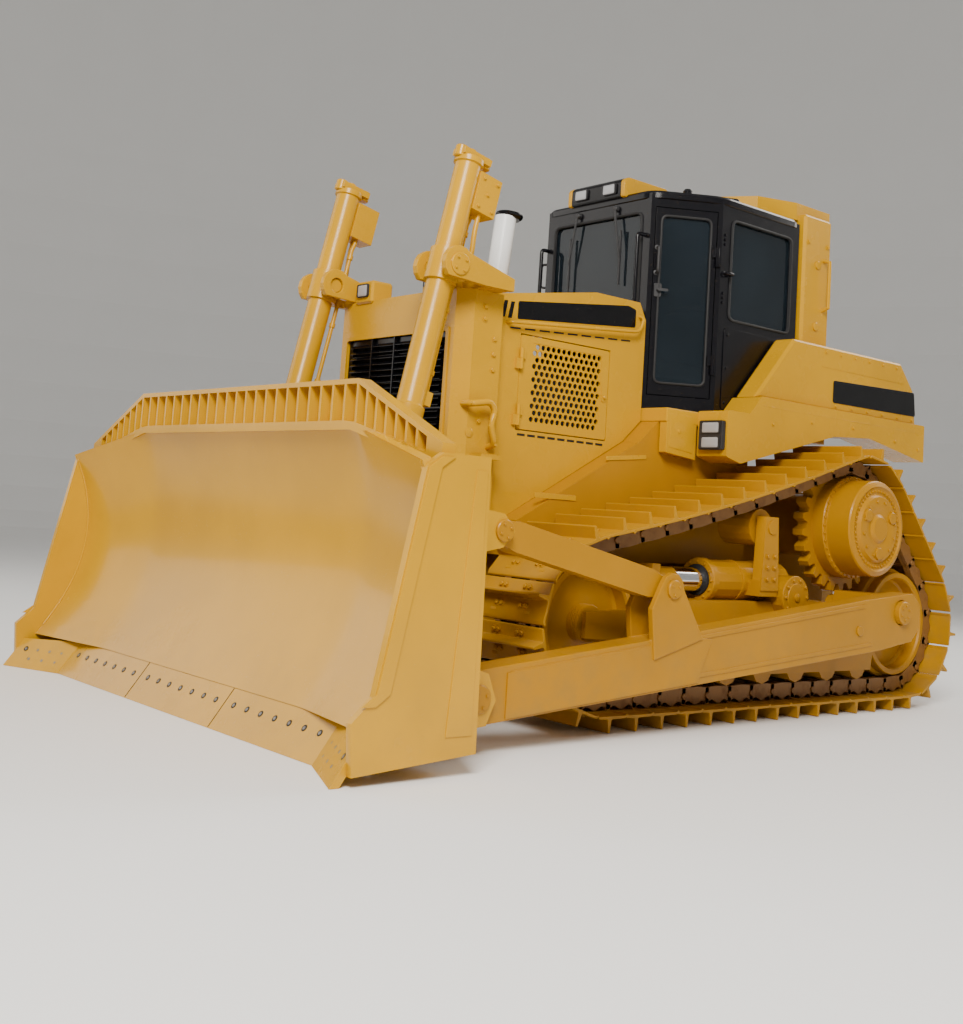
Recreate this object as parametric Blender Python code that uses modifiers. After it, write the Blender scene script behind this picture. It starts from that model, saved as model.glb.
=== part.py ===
"""Large crawler bulldozer with a semi-U blade, in metres.

Front is -Y, the machine's left is +X, up is +Z. The sizes below are in the machine's own
frame, whose Y is measured from the cab, and one empty moves the whole machine so that its
length is centred on the origin.
"""
import math

import bmesh
import bpy
from mathutils import Matrix, Vector

GAP = 0.0003          # between pieces that touch
RUN = 0.006           # between pieces that move past each other
ROUND = 20            # sides of a large round
SMALL_ROUND = 10      # sides of a small round

# Track: one closed loop of shoes on a link chain
SHOES = 43
PITCH = 0.240
PITCH_R = 0.4775
TRACK_X = 1.125
SHOE_W = 0.610
PLATE_IN = 0.060
NOTCH = 0.067
PLATE_OUT = 0.085
GROUSER = 0.165
LINK_DEPTH = 0.062
LINK_IN = 0.080
LINK_W = 0.060
SAG = 0.050
REAR_Y = 1.930
SPROCKET = (1.280, 1.370)
BELT_Z = GROUSER
IDLER_Z = BELT_Z + PITCH_R
TREAD_R = PITCH_R * math.cos(PITCH / (2 * PITCH_R)) - LINK_DEPTH - GAP
RAIL_Z = BELT_Z + LINK_DEPTH

# Undercarriage
TEETH = 25
TOOTH_R = 0.500
ROOT_R = 0.440
TOOTH_W = 0.090
DRIVE_R = 0.360
DRIVE_FACE_X = 1.500
IDLER_HUB_R = 0.120
ROLLERS = 7
ROLLER_R = 0.115
ROLLER_FIRST_Y = -0.960
ROLLER_LAST_Y = 1.380
GUARD_IN = 0.172
GUARD_T = 0.030
BEAM_HALF = 0.165
BEAM_LOW = 0.490
BEAM_TOP = 0.800
PIVOT_Y = 0.420
PIVOT_Z = 0.840
PIVOT_R = 0.150
PIVOT_X = 0.560
CARRIER_Y = 0.150
CARRIER_R = 0.130
RECOIL_Z = 0.930
RECOIL_R = 0.140
RECOIL_ROD_R = 0.080
RECOIL_Y = -0.330

# Main frame, with its bottom guard, rear case and drawbar
CHAIN_IN = TRACK_X - SHOE_W / 2     # inner ends of the shoes
CHAIN_OUT = TRACK_X + SHOE_W / 2    # outer ends of the shoes
FRAME_X = CHAIN_IN - 0.400
FRAME_Y = (-2.160, 1.900)
FRAME_Z = (0.560, 1.050)
CASE_X = CHAIN_IN - 0.260
CASE_Y = (0.620, 1.960)
CASE_TOP = 1.640
DRAWBAR_Y = 2.700
DRAWBAR_X = 0.330
DRAWBAR_Z = (0.600, 0.960)
BAR_Y = -0.900
BAR_Z = (0.700, 0.860)
SILL_X = (0.400, CHAIN_IN - 0.040)
SILL_LOW = 1.020
SILL_NOSE = (-1.740, 1.250)
SILL_KNEE = (-0.620, 1.860)
SILL_REAR_Y = 0.600
DECK_X = CHAIN_IN + 0.040
DECK_Y = (-0.440, 1.470)
DECK_Z = (2.020, 2.120)

# Radiator guard, hood and engine
GUARD_X = 0.700
GUARD_FRONT_Y = -2.240
GUARD_REAR_Y = -1.900
GUARD_Z = (FRAME_Z[1] + GAP, 2.700)
PODS_X = (0.280, 0.480)
GRAB_R = 0.016
GRAB_BAR = ((GUARD_X - 0.030, -2.170, 1.960), (GUARD_X + 0.075, -2.170, 1.960),
            (GUARD_X + 0.075, -2.020, 1.985), (GUARD_X + 0.075, -1.975, 1.930),
            (GUARD_X + 0.075, -2.010, 1.830), (GUARD_X + 0.075, -1.960, 1.720),
            (GUARD_X - 0.030, -1.960, 1.700))
STEP = ((-2.100, 1.620), (-1.930, 1.650))
CORE_X = 0.560
CORE_Z = (1.250, 2.430)
HOOD_X = 0.620
HOOD_T = 0.030
HOOD_NOSE_Z = 2.720
HOOD_TOP_Z = 2.880
HOOD_Y = (GUARD_REAR_Y + GAP, -0.450)
DOOR_Y = (-1.660, -0.800)
DOOR_Z = (1.845, 2.490)
DOOR_T = 0.028
ENGINE = ((-0.380, -1.760, FRAME_Z[1] + GAP), (0.380, -0.560, 2.400))
STACK_R = 0.095
STACK_Y = -1.360
STACK_TOP_Z = 3.470
STACK_LEAN = 0.120

# Cab: half plan from the front pane's middle to the rear wall's middle
CAB_PLAN = ((0.550, -0.380), (0.850, 0.080), (0.850, 1.030))
CAB_Z = (DECK_Z[1] + GAP, 3.740)
CAB_WALL = 0.050
CAB_ROOF_T = 0.070
SILL_Z = 2.850
HEAD_Z = 3.600
CAB_DOOR_Z = (2.230, 3.640)
PANE_T = 0.012
DOOR_RUN = math.dist(CAB_PLAN[0], CAB_PLAN[1])
DOOR_EDGE = 0.035
DOOR_FRAME = 0.055
HINGE_OUT = 0.022
KNUCKLE = 0.070
KNUCKLE_R = 0.014
LEAF = 0.040
# Lamps: x, face y, z, half width, half height
LENS_OUT = 0.012
CAB_LAMPS = ((0.150, -0.420, 3.825, 0.100, 0.045), (-0.150, -0.420, 3.825, 0.100, 0.045))
FENDER_LAMPS = ((1.000, -0.420, 2.010, 0.085, 0.042), (1.000, -0.420, 1.890, 0.085, 0.042))
POD_LAMP = (0.380, -2.260, 2.770, 0.060, 0.042)
LAMP_BOX = ((-0.300, -0.420, CAB_Z[1] + GAP), (0.300, 0.120, 3.900))

# Roll-over frame, fenders and rear tank
POST_X = (0.640, 0.870)
POST_Y = (1.080, 1.440)
POST_GRIP_Y = 1.340
POST_GRIP = ((POST_X[1] - 0.030, 3.080), (POST_X[1] + 0.060, 3.110), (POST_X[1] + 0.060, 3.480),
             (POST_X[1] - 0.030, 3.510))
ROPS_Z = (3.790, 3.930)
ROPS_PLAN = ((0.300, 0.470), (0.680, 0.700), (0.800, 1.050), (0.800, 1.500))
FENDER_X = (DECK_X + GAP, 1.130)
FENDER_TOP = 2.270
FENDER_SIDE = ((-0.420, 1.710), (-0.090, 1.710), (1.200, 2.060), (1.680, 2.090),
               (2.490, 1.960), (2.490, FENDER_TOP), (0.280, FENDER_TOP), (0.150, 2.130),
               (-0.420, 2.130))
TANK_X = 1.060
TANK_Z = (FENDER_TOP + GAP, 2.770)
CAPS = ((0.780, 1.900), (-0.780, 1.900), (0.300, 2.050))
CAP_R = 0.060
CAP_H = 0.045
TANK_SIDE = ((1.040, TANK_Z[0]), (2.470, TANK_Z[0]), (2.420, 2.560), (2.220, TANK_Z[1]),
             (1.040, TANK_Z[1]))
BOX_SIDE = ((0.290, TANK_Z[0]), (1.100, TANK_Z[0]), (1.100, TANK_Z[1]), (0.740, TANK_Z[1]))

# Blade and its arms
LIFT_Y = 1.250
LIFT_Z = 0.770
TRUNNION_R = 0.085
ARM_X = (CHAIN_OUT + 0.110, CHAIN_OUT + 0.290)
ARM_SIDE = ((-2.900, 0.150), (-2.560, 0.180), (0.990, 0.500), (1.400, 0.560), (1.500, 0.660),
            (1.500, 0.830), (1.400, 0.910), (0.840, 0.860), (-1.060, 0.640), (-2.900, 0.440))
BLADE_X = 2.090
WING_X = 1.250
WING_SWEEP = 0.160
EDGE_Z = 0.245
CREST_Z = 1.700
CREST_Y = -3.380
EDGE_Y = -3.530
BOWL = 0.210
SKIN = 0.045
BACK_Y = -3.120
END_T = 0.040
END_SIDE = ((-3.830, 0.050), (-3.850, 0.290), (-3.730, 0.400), (-3.515, 1.490), (-3.420, 1.550),
            (-3.120, 1.550), (-3.100, 0.110))
CUT_X = 1.600
CUT_TIP = (-3.707, 0.000)
BIT_TIP_Y = -3.918
EDGE_T = 0.045
EDGE_LEN = 0.260
GUARD_PLATE_Y = (-3.345, -3.322)
GUARD_RIB_Y = -3.405
GUARD_TOP = (1.296, 1.945)
GUARD_END = (2.050, 1.600)
RIBS = 22
WING_RIBS = 7
RIB_T = 0.018
BRACE_FRONT = (-2.690, 1.190)
BRACE_REAR = (-1.300, 0.900)
BRACE_X = (ARM_X[0] + 0.020, ARM_X[1] - 0.020)

# Lift cylinders
CYL_X = 0.676
YOKE = (-2.400, 2.800)
ROD_EYE = (-2.880, 0.520)
BARREL_R = 0.085
BORE_R = 0.066
BARREL_UP = 0.780
BARREL_DOWN = 1.000
VALVE_UP = (0.420, 0.690)
VALVE_OUT = 0.190
VALVE_HALF = 0.070
ROD_R = 0.045
ROD_LEN = 1.860
EYE_R = 0.090
EYE_HALF = 0.045
LUG_T = 0.035
CHEEK_IN = 0.122
CHEEK_T = 0.045
PIN_R = 0.050

SHIFT_Y = -(BIT_TIP_Y + DRAWBAR_Y) / 2

PAINT = (0.72, 0.40, 0.045)
DARK = (0.012, 0.013, 0.018)


def clear_scene():
    """Empty the file of its objects."""
    for obj in list(bpy.data.objects):
        bpy.data.objects.remove(obj)


def new_collection(name):
    """A collection linked to the scene."""
    made = bpy.data.collections.new(name)
    bpy.context.scene.collection.children.link(made)
    return made


def make_material(name, colour, roughness, metallic=0.0, alpha=1.0):
    """A Principled finish."""
    mat = bpy.data.materials.new(name)
    mat.use_nodes = True
    shader = mat.node_tree.nodes["Principled BSDF"]
    shader.inputs["Base Color"].default_value = (*colour, 1.0)
    shader.inputs["Roughness"].default_value = roughness
    shader.inputs["Metallic"].default_value = metallic
    shader.inputs["Alpha"].default_value = alpha
    return mat


def as_object(bm, name="shape"):
    """Turn a bmesh into an object, with its faces outwards."""
    bmesh.ops.recalc_face_normals(bm, faces=bm.faces)
    mesh = bpy.data.meshes.new(name)
    bm.to_mesh(mesh)
    bm.free()
    obj = bpy.data.objects.new(name, mesh)
    bpy.context.scene.collection.objects.link(obj)
    return obj


def freeze(obj):
    """Replace an object by its evaluated mesh in machine coordinates."""
    bpy.context.view_layer.update()
    graph = bpy.context.evaluated_depsgraph_get()
    mesh = bpy.data.meshes.new_from_object(obj.evaluated_get(graph))
    mesh.transform(obj.matrix_world)
    bpy.data.objects.remove(obj)
    bm = bmesh.new()
    bm.from_mesh(mesh)
    bpy.data.meshes.remove(mesh)
    bmesh.ops.remove_doubles(bm, verts=bm.verts, dist=0.00005)
    return as_object(bm)


def box(low, high, bevel=0.0):
    """A block between two corners, with its edges bevelled."""
    bm = bmesh.new()
    size = [b - a for a, b in zip(low, high)]
    middle = [(a + b) / 2 for a, b in zip(low, high)]
    place = Matrix.Translation(middle) @ Matrix.Diagonal((*size, 1.0))
    bmesh.ops.create_cube(bm, size=1.0, matrix=place)
    if bevel:
        bmesh.ops.bevel(bm, geom=bm.edges[:], offset=bevel, segments=1, affect="EDGES")
    return as_object(bm)


def rod(start, end, radius, sides=SMALL_ROUND, end_radius=None):
    """A cylinder or a cone between two points."""
    start = Vector(start)
    end = Vector(end)
    bm = bmesh.new()
    turn = (end - start).to_track_quat("Z", "Y").to_matrix().to_4x4()
    place = Matrix.Translation((start + end) / 2) @ turn
    bmesh.ops.create_cone(bm, cap_ends=True, segments=sides, radius1=radius,
                          radius2=radius if end_radius is None else end_radius,
                          depth=(end - start).length, matrix=place)
    return as_object(bm)


def outline(loops, low, high, axis):
    """A flat outline with holes, extruded along an axis between two places."""
    curve = bpy.data.curves.new("outline", "CURVE")
    curve.dimensions = "2D"
    curve.fill_mode = "BOTH"
    curve.extrude = (high - low) / 2
    for loop in loops:
        spline = curve.splines.new("POLY")
        spline.points.add(len(loop) - 1)
        for point, (a, b) in zip(spline.points, loop):
            point.co = (a, b, 0.0, 1.0)
        spline.use_cyclic_u = True
    obj = bpy.data.objects.new("outline", curve)
    bpy.context.scene.collection.objects.link(obj)
    columns = {"X": ((0, 1, 0), (0, 0, 1), (1, 0, 0)),
               "Y": ((1, 0, 0), (0, 0, 1), (0, 1, 0)),
               "Z": ((1, 0, 0), (0, 1, 0), (0, 0, 1))}[axis]
    turn = Matrix(columns).transposed().to_4x4()
    obj.matrix_world = turn @ Matrix.Translation((0, 0, (low + high) / 2))
    return freeze(obj)


def tube(points, radius):
    """A bent tube through points, with filled ends."""
    curve = bpy.data.curves.new("tube", "CURVE")
    curve.dimensions = "3D"
    curve.bevel_depth = radius
    curve.bevel_resolution = 2
    curve.use_fill_caps = True
    spline = curve.splines.new("POLY")
    spline.points.add(len(points) - 1)
    for point, place in zip(spline.points, points):
        point.co = (*place, 1.0)
    obj = bpy.data.objects.new("tube", curve)
    bpy.context.scene.collection.objects.link(obj)
    return freeze(obj)


def turned(profile, origin, axis, sides=ROUND):
    """A turned solid: profile of (radius, height), from its top on the axis to its foot."""
    mesh = bpy.data.meshes.new("profile")
    mesh.from_pydata([(r, 0.0, h) for r, h in profile],
                     [(i, i + 1) for i in range(len(profile) - 1)], [])
    obj = bpy.data.objects.new("profile", mesh)
    bpy.context.scene.collection.objects.link(obj)
    screw = obj.modifiers.new("turn", "SCREW")
    screw.axis = "Z"
    screw.steps = sides
    screw.render_steps = sides
    screw.use_merge_vertices = True
    screw.merge_threshold = 0.0001
    turn = Vector(axis).to_track_quat("Z", "Y").to_matrix().to_4x4()
    obj.matrix_world = Matrix.Translation(origin) @ turn
    return freeze(obj)


def combine(base, others, how):
    """Apply Boolean modifiers of one kind, and remove the other shapes."""
    for other in others:
        tool = base.modifiers.new(how, "BOOLEAN")
        tool.operation = how
        tool.solver = "EXACT"
        tool.object = other
        CUTTERS.objects.link(other)
        other.hide_render = True
        other.display_type = "WIRE"
    solid = freeze(base)
    for other in others:
        bpy.data.objects.remove(other)
    return solid


def fuse(shapes, cuts=()):
    """Join shapes that overlap into one solid, then cut it."""
    solid = combine(shapes[0], shapes[1:], "UNION") if len(shapes) > 1 else shapes[0]
    return combine(solid, cuts, "DIFFERENCE") if cuts else solid


def place(name, solid, finish, mount, smooth=30.0):
    """Name a finished piece and hang it on the empty that carries it."""
    solid.name = name
    solid.data.name = name
    for holder in list(solid.users_collection):
        holder.objects.unlink(solid)
    PARTS.objects.link(solid)
    solid.data.materials.clear()
    solid.data.materials.append(finish)
    solid.data.shade_smooth()
    solid.data.set_sharp_from_angle(angle=math.radians(smooth))
    solid.parent = mount
    at = mount["at"]
    solid.location = (-at[0], -at[1], -at[2])
    return solid


def mount_empty(name, at, parent=None):
    """An empty on a joint's axis, given in machine coordinates."""
    empty = bpy.data.objects.new(name, None)
    PARTS.objects.link(empty)
    empty["at"] = at
    if parent is None:
        empty.location = (at[0], at[1] + SHIFT_Y, at[2])
    else:
        empty.parent = parent
        empty.location = [a - b for a, b in zip(at, parent["at"])]
    return empty


def side_name(name, side):
    """The left piece is at +X."""
    return f"{name}_{'left' if side > 0 else 'right'}"


def flip(side, low, high):
    """Order two places along X after mirroring."""
    return (low, high) if side > 0 else (-high, -low)


def side_outline(loops, span, side):
    """An outline in the YZ plane, between two distances from the middle plane."""
    low, high = flip(side, *span)
    return outline(loops, low, high, "X")


def cross_rod(centre, span, radius, side, sides=SMALL_ROUND):
    """A rod along X between two distances from the middle plane."""
    low, high = flip(side, *span)
    return rod((low, *centre), (high, *centre), radius, sides)


def circle(centre, radius, sides=ROUND, start=0.0, turn=math.tau):
    """Points on a circle or an arc of it."""
    count = sides if turn == math.tau else sides + 1
    return [(centre[0] + radius * math.cos(start + turn * i / sides),
             centre[1] + radius * math.sin(start + turn * i / sides)) for i in range(count)]


def belt_path(front_y):
    """The pitch line (y, z): bottom run, rear idler, sprocket, sagging top run, front idler."""
    rear = Vector((REAR_Y, IDLER_Z))
    drive = Vector(SPROCKET)
    front = Vector((front_y, IDLER_Z))
    steps = 48
    rise = (drive - rear).normalized()
    run = (front - drive).normalized()
    rise_angle = math.atan2(-rise.x, rise.y)
    run_angle = math.atan2(-run.x, run.y)
    out = Vector((run.y, -run.x))
    points = circle(rear, PITCH_R, steps, -math.pi / 2, rise_angle + math.pi / 2)
    points += circle(drive, PITCH_R, steps, rise_angle, run_angle - rise_angle)
    for i in range(1, steps):
        t = i / steps
        point = drive.lerp(front, t) + out * (PITCH_R - 4 * SAG * t * (1 - t))
        points.append((point.x, point.y))
    points += circle(front, PITCH_R, steps, run_angle, 1.5 * math.pi - run_angle)
    return [Vector(p) for p in points]


def path_length(points):
    """Length round a closed path."""
    return sum((b - a).length for a, b in zip(points, points[1:] + points[:1]))


def solve_front_y():
    """The front idler's place that makes the loop close on whole shoes."""
    near = REAR_Y - 3.0
    far = REAR_Y - 4.0
    for _ in range(50):
        middle = (near + far) / 2
        if path_length(belt_path(middle)) < SHOES * PITCH:
            near = middle
        else:
            far = middle
    return (near + far) / 2


def belt_pins():
    """The chain's pins, evenly along the pitch line."""
    points = belt_path(FRONT_Y)
    step = path_length(points) / SHOES
    pins = []
    due = step / 2
    for a, b in zip(points, points[1:] + points[:1]):
        length = (b - a).length
        while due <= length:
            pins.append(a.lerp(b, due / length))
            due += step
        due -= length
    return pins


def chord_frames(pins):
    """For each shoe: its middle, its direction and its outward normal."""
    frames = []
    for a, b in zip(pins, pins[1:] + pins[:1]):
        along = (b - a).normalized()
        frames.append(((a + b) / 2, along, Vector((along.y, -along.x))))
    return frames


def offset_pins(pins, frames, depth):
    """The chain's outline at one depth outside the pitch line."""
    loop = []
    for i, pin in enumerate(pins):
        here = frames[i][2]
        mean = (here + frames[i - 1][2]).normalized()
        loop.append(tuple(pin + mean * (depth / mean.dot(here))))
    return loop


def shoe_crown(frame):
    """A shoe's outer points: a plate with one tall grouser, lower at its two edges."""
    middle, along, out = frame
    half = PITCH / 2
    edge = PLATE_OUT - 0.007
    corners = ((0.006 - half, edge), (-0.052, PLATE_OUT), (-0.042, GROUSER),
               (-0.024, GROUSER), (-0.014, PLATE_OUT), (half - 0.006, edge))
    return [middle + along * u + out * v for u, v in corners]


def make_track(side):
    """Shoes and links as one loop: a section at each pin, joined link by link.

    Across the track the section runs along the plates' inner face, in and out round the two
    rails of links. Each link's two end faces also take in the crown of its shoe.
    """
    pins = belt_pins()
    frames = chord_frames(pins)
    wide = SHOE_W / 2
    near = LINK_IN
    far = LINK_IN + LINK_W
    section = ((wide, PLATE_IN), (far, PLATE_IN), (far, -LINK_DEPTH), (near, -LINK_DEPTH),
               (near, PLATE_IN), (-near, PLATE_IN), (-near, -LINK_DEPTH), (-far, -LINK_DEPTH),
               (-far, PLATE_IN), (-wide, PLATE_IN))
    levels = {depth: offset_pins(pins, frames, depth) for depth in (PLATE_IN, -LINK_DEPTH, NOTCH)}
    bm = bmesh.new()

    def vertex(x, point):
        return bm.verts.new((side * (TRACK_X + x), *point))

    inner = [[vertex(x, levels[depth][i]) for x, depth in section] for i in range(SHOES)]
    notches = [[vertex(x, levels[NOTCH][i]) for x in (wide, -wide)] for i in range(SHOES)]
    for i in range(SHOES):
        j = (i + 1) % SHOES
        for k in range(len(section) - 1):
            bm.faces.new((inner[i][k], inner[j][k], inner[j][k + 1], inner[i][k + 1]))
        crown = [[vertex(x, point) for point in shoe_crown(frames[i])] for x in (wide, -wide)]
        edges = [[notches[i][n], *crown[n], notches[j][n]] for n in (0, 1)]
        bm.faces.new([inner[i][0], *edges[0], inner[j][0]])
        bm.faces.new([inner[i][-1], *edges[1], inner[j][-1]])
        for k in range(len(edges[0]) - 1):
            bm.faces.new((edges[0][k], edges[0][k + 1], edges[1][k + 1], edges[1][k]))
    return as_object(bm)


def make_final_drive(side):
    """Sprocket teeth between the rails of links, and the planetary hub outside them."""
    teeth = []
    for i in range(TEETH):
        middle = math.tau * i / TEETH
        half = math.pi / TEETH
        for turn, radius in ((-0.72, ROOT_R), (-0.30, TOOTH_R), (0.30, TOOTH_R), (0.72, ROOT_R)):
            angle = middle + turn * half
            teeth.append((SPROCKET[0] + radius * math.cos(angle),
                          SPROCKET[1] + radius * math.sin(angle)))
    plate = side_outline([teeth], (TRACK_X - TOOTH_W / 2, TRACK_X + TOOTH_W / 2), side)
    face = DRIVE_FACE_X
    profile = ((0.0, face + 0.012), (0.090, face + 0.012), (0.100, face - 0.010),
               (0.150, face - 0.002), (0.235, face + 0.004), (0.262, face - 0.026),
               (0.300, face - 0.026), (0.315, face - 0.006), (DRIVE_R, face - 0.022),
               (DRIVE_R, TRACK_X + 0.160), (0.390, TRACK_X + 0.140), (0.390, TRACK_X + 0.030),
               (0.240, TRACK_X - 0.200), (0.240, CASE_X + GAP), (0.0, CASE_X + GAP))
    hub = turned(profile, (0, *SPROCKET), (side, 0, 0), ROUND)
    return fuse([plate, hub])


def make_idler(side, centre):
    """A guiding wheel: hub, thin web and a rim with a centre flange between the rails."""
    rim = LINK_IN + LINK_W + 0.004
    hub = GUARD_IN + 0.004 - GAP
    flange = LINK_IN - 0.012
    profile = ((0.0, hub), (IDLER_HUB_R, hub), (IDLER_HUB_R, 0.045), (0.340, 0.030),
               (0.360, rim), (TREAD_R, rim), (TREAD_R, flange), (TREAD_R + 0.035, flange - 0.012))
    below = [(r, -h) for r, h in reversed(profile)]
    return turned(profile + tuple(below), (side * TRACK_X, *centre), (side, 0, 0), 18)


def roller_places():
    """Where the bottom rollers stand along the track."""
    step = (ROLLER_LAST_Y - ROLLER_FIRST_Y) / (ROLLERS - 1)
    return [ROLLER_FIRST_Y + step * i for i in range(ROLLERS)]


def make_track_frame(side):
    """Beam, roller guards with their rollers, idler forks, recoil tube and carrier roller."""
    def across(a, b):
        return (TRACK_X + a, TRACK_X + b)

    roller_z = RAIL_Z + GAP + ROLLER_R
    beam = ((FRONT_Y + 0.46, BEAM_LOW), (REAR_Y - 0.46, BEAM_LOW), (REAR_Y - 0.46, BEAM_TOP - 0.04),
            (1.080, BEAM_TOP), (FRONT_Y + 0.60, BEAM_TOP), (FRONT_Y + 0.46, BEAM_TOP - 0.08))
    shapes = [side_outline([beam], across(-BEAM_HALF, BEAM_HALF), side)]
    guard = ((ROLLER_FIRST_Y - 0.12, 0.300), (ROLLER_LAST_Y + 0.12, 0.300),
             (ROLLER_LAST_Y + 0.16, BEAM_LOW + 0.06), (ROLLER_FIRST_Y - 0.16, BEAM_LOW + 0.06))
    outer = GUARD_IN + GUARD_T
    for start in (GUARD_IN, -outer):
        shapes.append(side_outline([guard], across(start, start + GUARD_T), side))
    shapes.append(side_outline([[(guard[0][0] + 0.02, BEAM_LOW + 0.01),
                                 (guard[1][0] - 0.02, BEAM_LOW + 0.01),
                                 (guard[1][0] - 0.02, BEAM_LOW + 0.05),
                                 (guard[0][0] + 0.02, BEAM_LOW + 0.05)]],
                               across(-GUARD_IN - 0.010, GUARD_IN + 0.010), side))
    for y in roller_places():
        shapes.append(cross_rod((y, roller_z), across(-GUARD_IN + 0.006, GUARD_IN - 0.006),
                                ROLLER_R, side, SMALL_ROUND))
        shapes.append(cross_rod((y, roller_z), across(0.010 - outer, outer - 0.010),
                                0.038, side, 6))
    for y, way in ((FRONT_Y, 1), (REAR_Y, -1)):
        fork = [(y - way * 0.10, IDLER_Z - 0.08), (y - way * 0.10, IDLER_Z + 0.08),
                (y + way * 0.50, IDLER_Z + 0.11), (y + way * 0.50, IDLER_Z - 0.11)]
        for start in (GUARD_IN + 0.004, -outer - 0.004):
            shapes.append(side_outline([fork], across(start, start + GUARD_T), side))
        joint = [(y + way * 0.460, IDLER_Z - 0.09), (y + way * 0.460, IDLER_Z + 0.09),
                 (y + way * 0.490, IDLER_Z + 0.09), (y + way * 0.490, IDLER_Z - 0.09)]
        shapes.append(side_outline([joint], across(-GUARD_IN - 0.012, GUARD_IN + 0.012), side))
    x = side * TRACK_X
    shapes.append(rod((x, FRONT_Y + 0.54, RECOIL_Z), (x, RECOIL_Y + 0.040, RECOIL_Z),
                      RECOIL_ROD_R, 12))
    shapes.append(rod((x, RECOIL_Y, RECOIL_Z), (x, PIVOT_Y + 0.10, RECOIL_Z), RECOIL_R, 16))
    low, high = flip(side, TRACK_X - 0.090, TRACK_X + 0.090)
    shapes.append(box((low, FRONT_Y + 0.610, BEAM_TOP - 0.030),
                      (high, FRONT_Y + 0.690, RECOIL_Z + 0.100)))
    shapes.append(cross_rod((PIVOT_Y, PIVOT_Z), (PIVOT_X + GAP, TRACK_X + 0.260), PIVOT_R, side, 16))
    shapes.append(cross_rod((LIFT_Y, LIFT_Z), (TRACK_X, ARM_X[1] + 0.020), TRUNNION_R, side, 14))
    shapes.append(side_outline([[(LIFT_Y - 0.20, BEAM_LOW + 0.04), (LIFT_Y + 0.16, BEAM_LOW + 0.04),
                                 (LIFT_Y + 0.11, LIFT_Z + 0.12), (LIFT_Y - 0.11, LIFT_Z + 0.12)]],
                               (TRACK_X + 0.10, ARM_X[0] - GAP), side))
    shapes += carrier_roller(side)
    return fuse(shapes)


def top_rail_z(y):
    """Height of the rails' under side on the top run, at one place along it."""
    frames = chord_frames(belt_pins())
    best = min((f for f in frames if f[2].y > 0.5), key=lambda f: abs(f[0].x - y))
    middle, along, out = best
    return middle.y + (y - middle.x) * along.y / along.x - LINK_DEPTH / out.y


def carrier_roller(side):
    """The roller under the top run, on its bracket beside the recoil tube."""
    out = 0.97
    z = top_rail_z(CARRIER_Y) - (CARRIER_R + 0.004) / out
    inner = TRACK_X - LINK_IN - LINK_W
    outer = TRACK_X + LINK_IN + LINK_W
    bracket = ((CARRIER_Y - 0.10, RECOIL_Z - 0.05), (CARRIER_Y + 0.10, RECOIL_Z - 0.05),
               (CARRIER_Y + 0.07, z + 0.075), (CARRIER_Y - 0.07, z + 0.075))
    return [cross_rod((CARRIER_Y, z), (inner, outer), CARRIER_R, side, 16),
            cross_rod((CARRIER_Y, z), (inner + 0.02, outer + 0.11), 0.050, side, 8),
            side_outline([bracket], (outer + 0.020, outer + 0.100), side),
            side_outline([[(CARRIER_Y - 0.10, RECOIL_Z - 0.09), (CARRIER_Y + 0.10, RECOIL_Z - 0.09),
                           (CARRIER_Y + 0.10, RECOIL_Z + 0.02), (CARRIER_Y - 0.10, RECOIL_Z + 0.02)]],
                         (TRACK_X + 0.02, outer + 0.090), side)]


def make_main_frame():
    """Frame rails, bottom guard, steering case, equalizer bar and drawbar."""
    tray = ((FRAME_Y[0], 0.700), (FRAME_Y[0] + 0.140, FRAME_Z[0]), (FRAME_Y[1], FRAME_Z[0]),
            (FRAME_Y[1], FRAME_Z[1]), (FRAME_Y[0], FRAME_Z[1]))
    case = ((CASE_Y[0], 0.620), (CASE_Y[1] - 0.10, 0.620), (CASE_Y[1], 0.760),
            (CASE_Y[1], 1.300), (CASE_Y[1] - 0.22, CASE_TOP), (CASE_Y[0] + 0.16, CASE_TOP),
            (CASE_Y[0], 1.400))
    bar = DRAWBAR_Z
    clevis = ((CASE_Y[1] - 0.14, bar[0] + 0.04), (DRAWBAR_Y - 0.16, bar[0]), (DRAWBAR_Y, bar[0]),
              (DRAWBAR_Y, bar[1]), (DRAWBAR_Y - 0.16, bar[1]), (CASE_Y[1] - 0.14, bar[1] + 0.22))
    shapes = [outline([tray], -FRAME_X, FRAME_X, "X"),
              outline([case], -CASE_X, CASE_X, "X"),
              outline([clevis], -DRAWBAR_X, DRAWBAR_X, "X"),
              rod((-PIVOT_X, PIVOT_Y, PIVOT_Z), (PIVOT_X, PIVOT_Y, PIVOT_Z), 0.120, 14),
              box((-TRACK_X + BEAM_HALF + GAP, BAR_Y - 0.09, BAR_Z[0]),
                  (TRACK_X - BEAM_HALF - GAP, BAR_Y + 0.09, BAR_Z[1]), 0.02)]
    sill = (SILL_NOSE, SILL_KNEE, (DECK_Y[0], DECK_Z[0] - GAP), (SILL_REAR_Y, DECK_Z[0] - GAP),
            (SILL_REAR_Y, SILL_LOW), (SILL_NOSE[0], SILL_LOW))
    shapes += [side_outline([sill], SILL_X, side) for side in (1, -1)]
    slot = (bar[0] + bar[1]) / 2
    jaw = box((-DRAWBAR_X - 0.01, DRAWBAR_Y - 0.24, slot - 0.05), (DRAWBAR_X + 0.01, DRAWBAR_Y + 0.01,
                                                                  slot + 0.05))
    eye = rod((0, DRAWBAR_Y - 0.12, bar[0] - 0.05), (0, DRAWBAR_Y - 0.12, bar[1] + 0.05), 0.040, 12)
    return fuse(shapes, [jaw, eye])


def make_deck():
    """The plate that carries the cab."""
    return box((-DECK_X, DECK_Y[0], DECK_Z[0]), (DECK_X, DECK_Y[1], DECK_Z[1]))


def make_engine():
    """The engine as one plain block."""
    return box(*ENGINE, 0.03)


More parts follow.
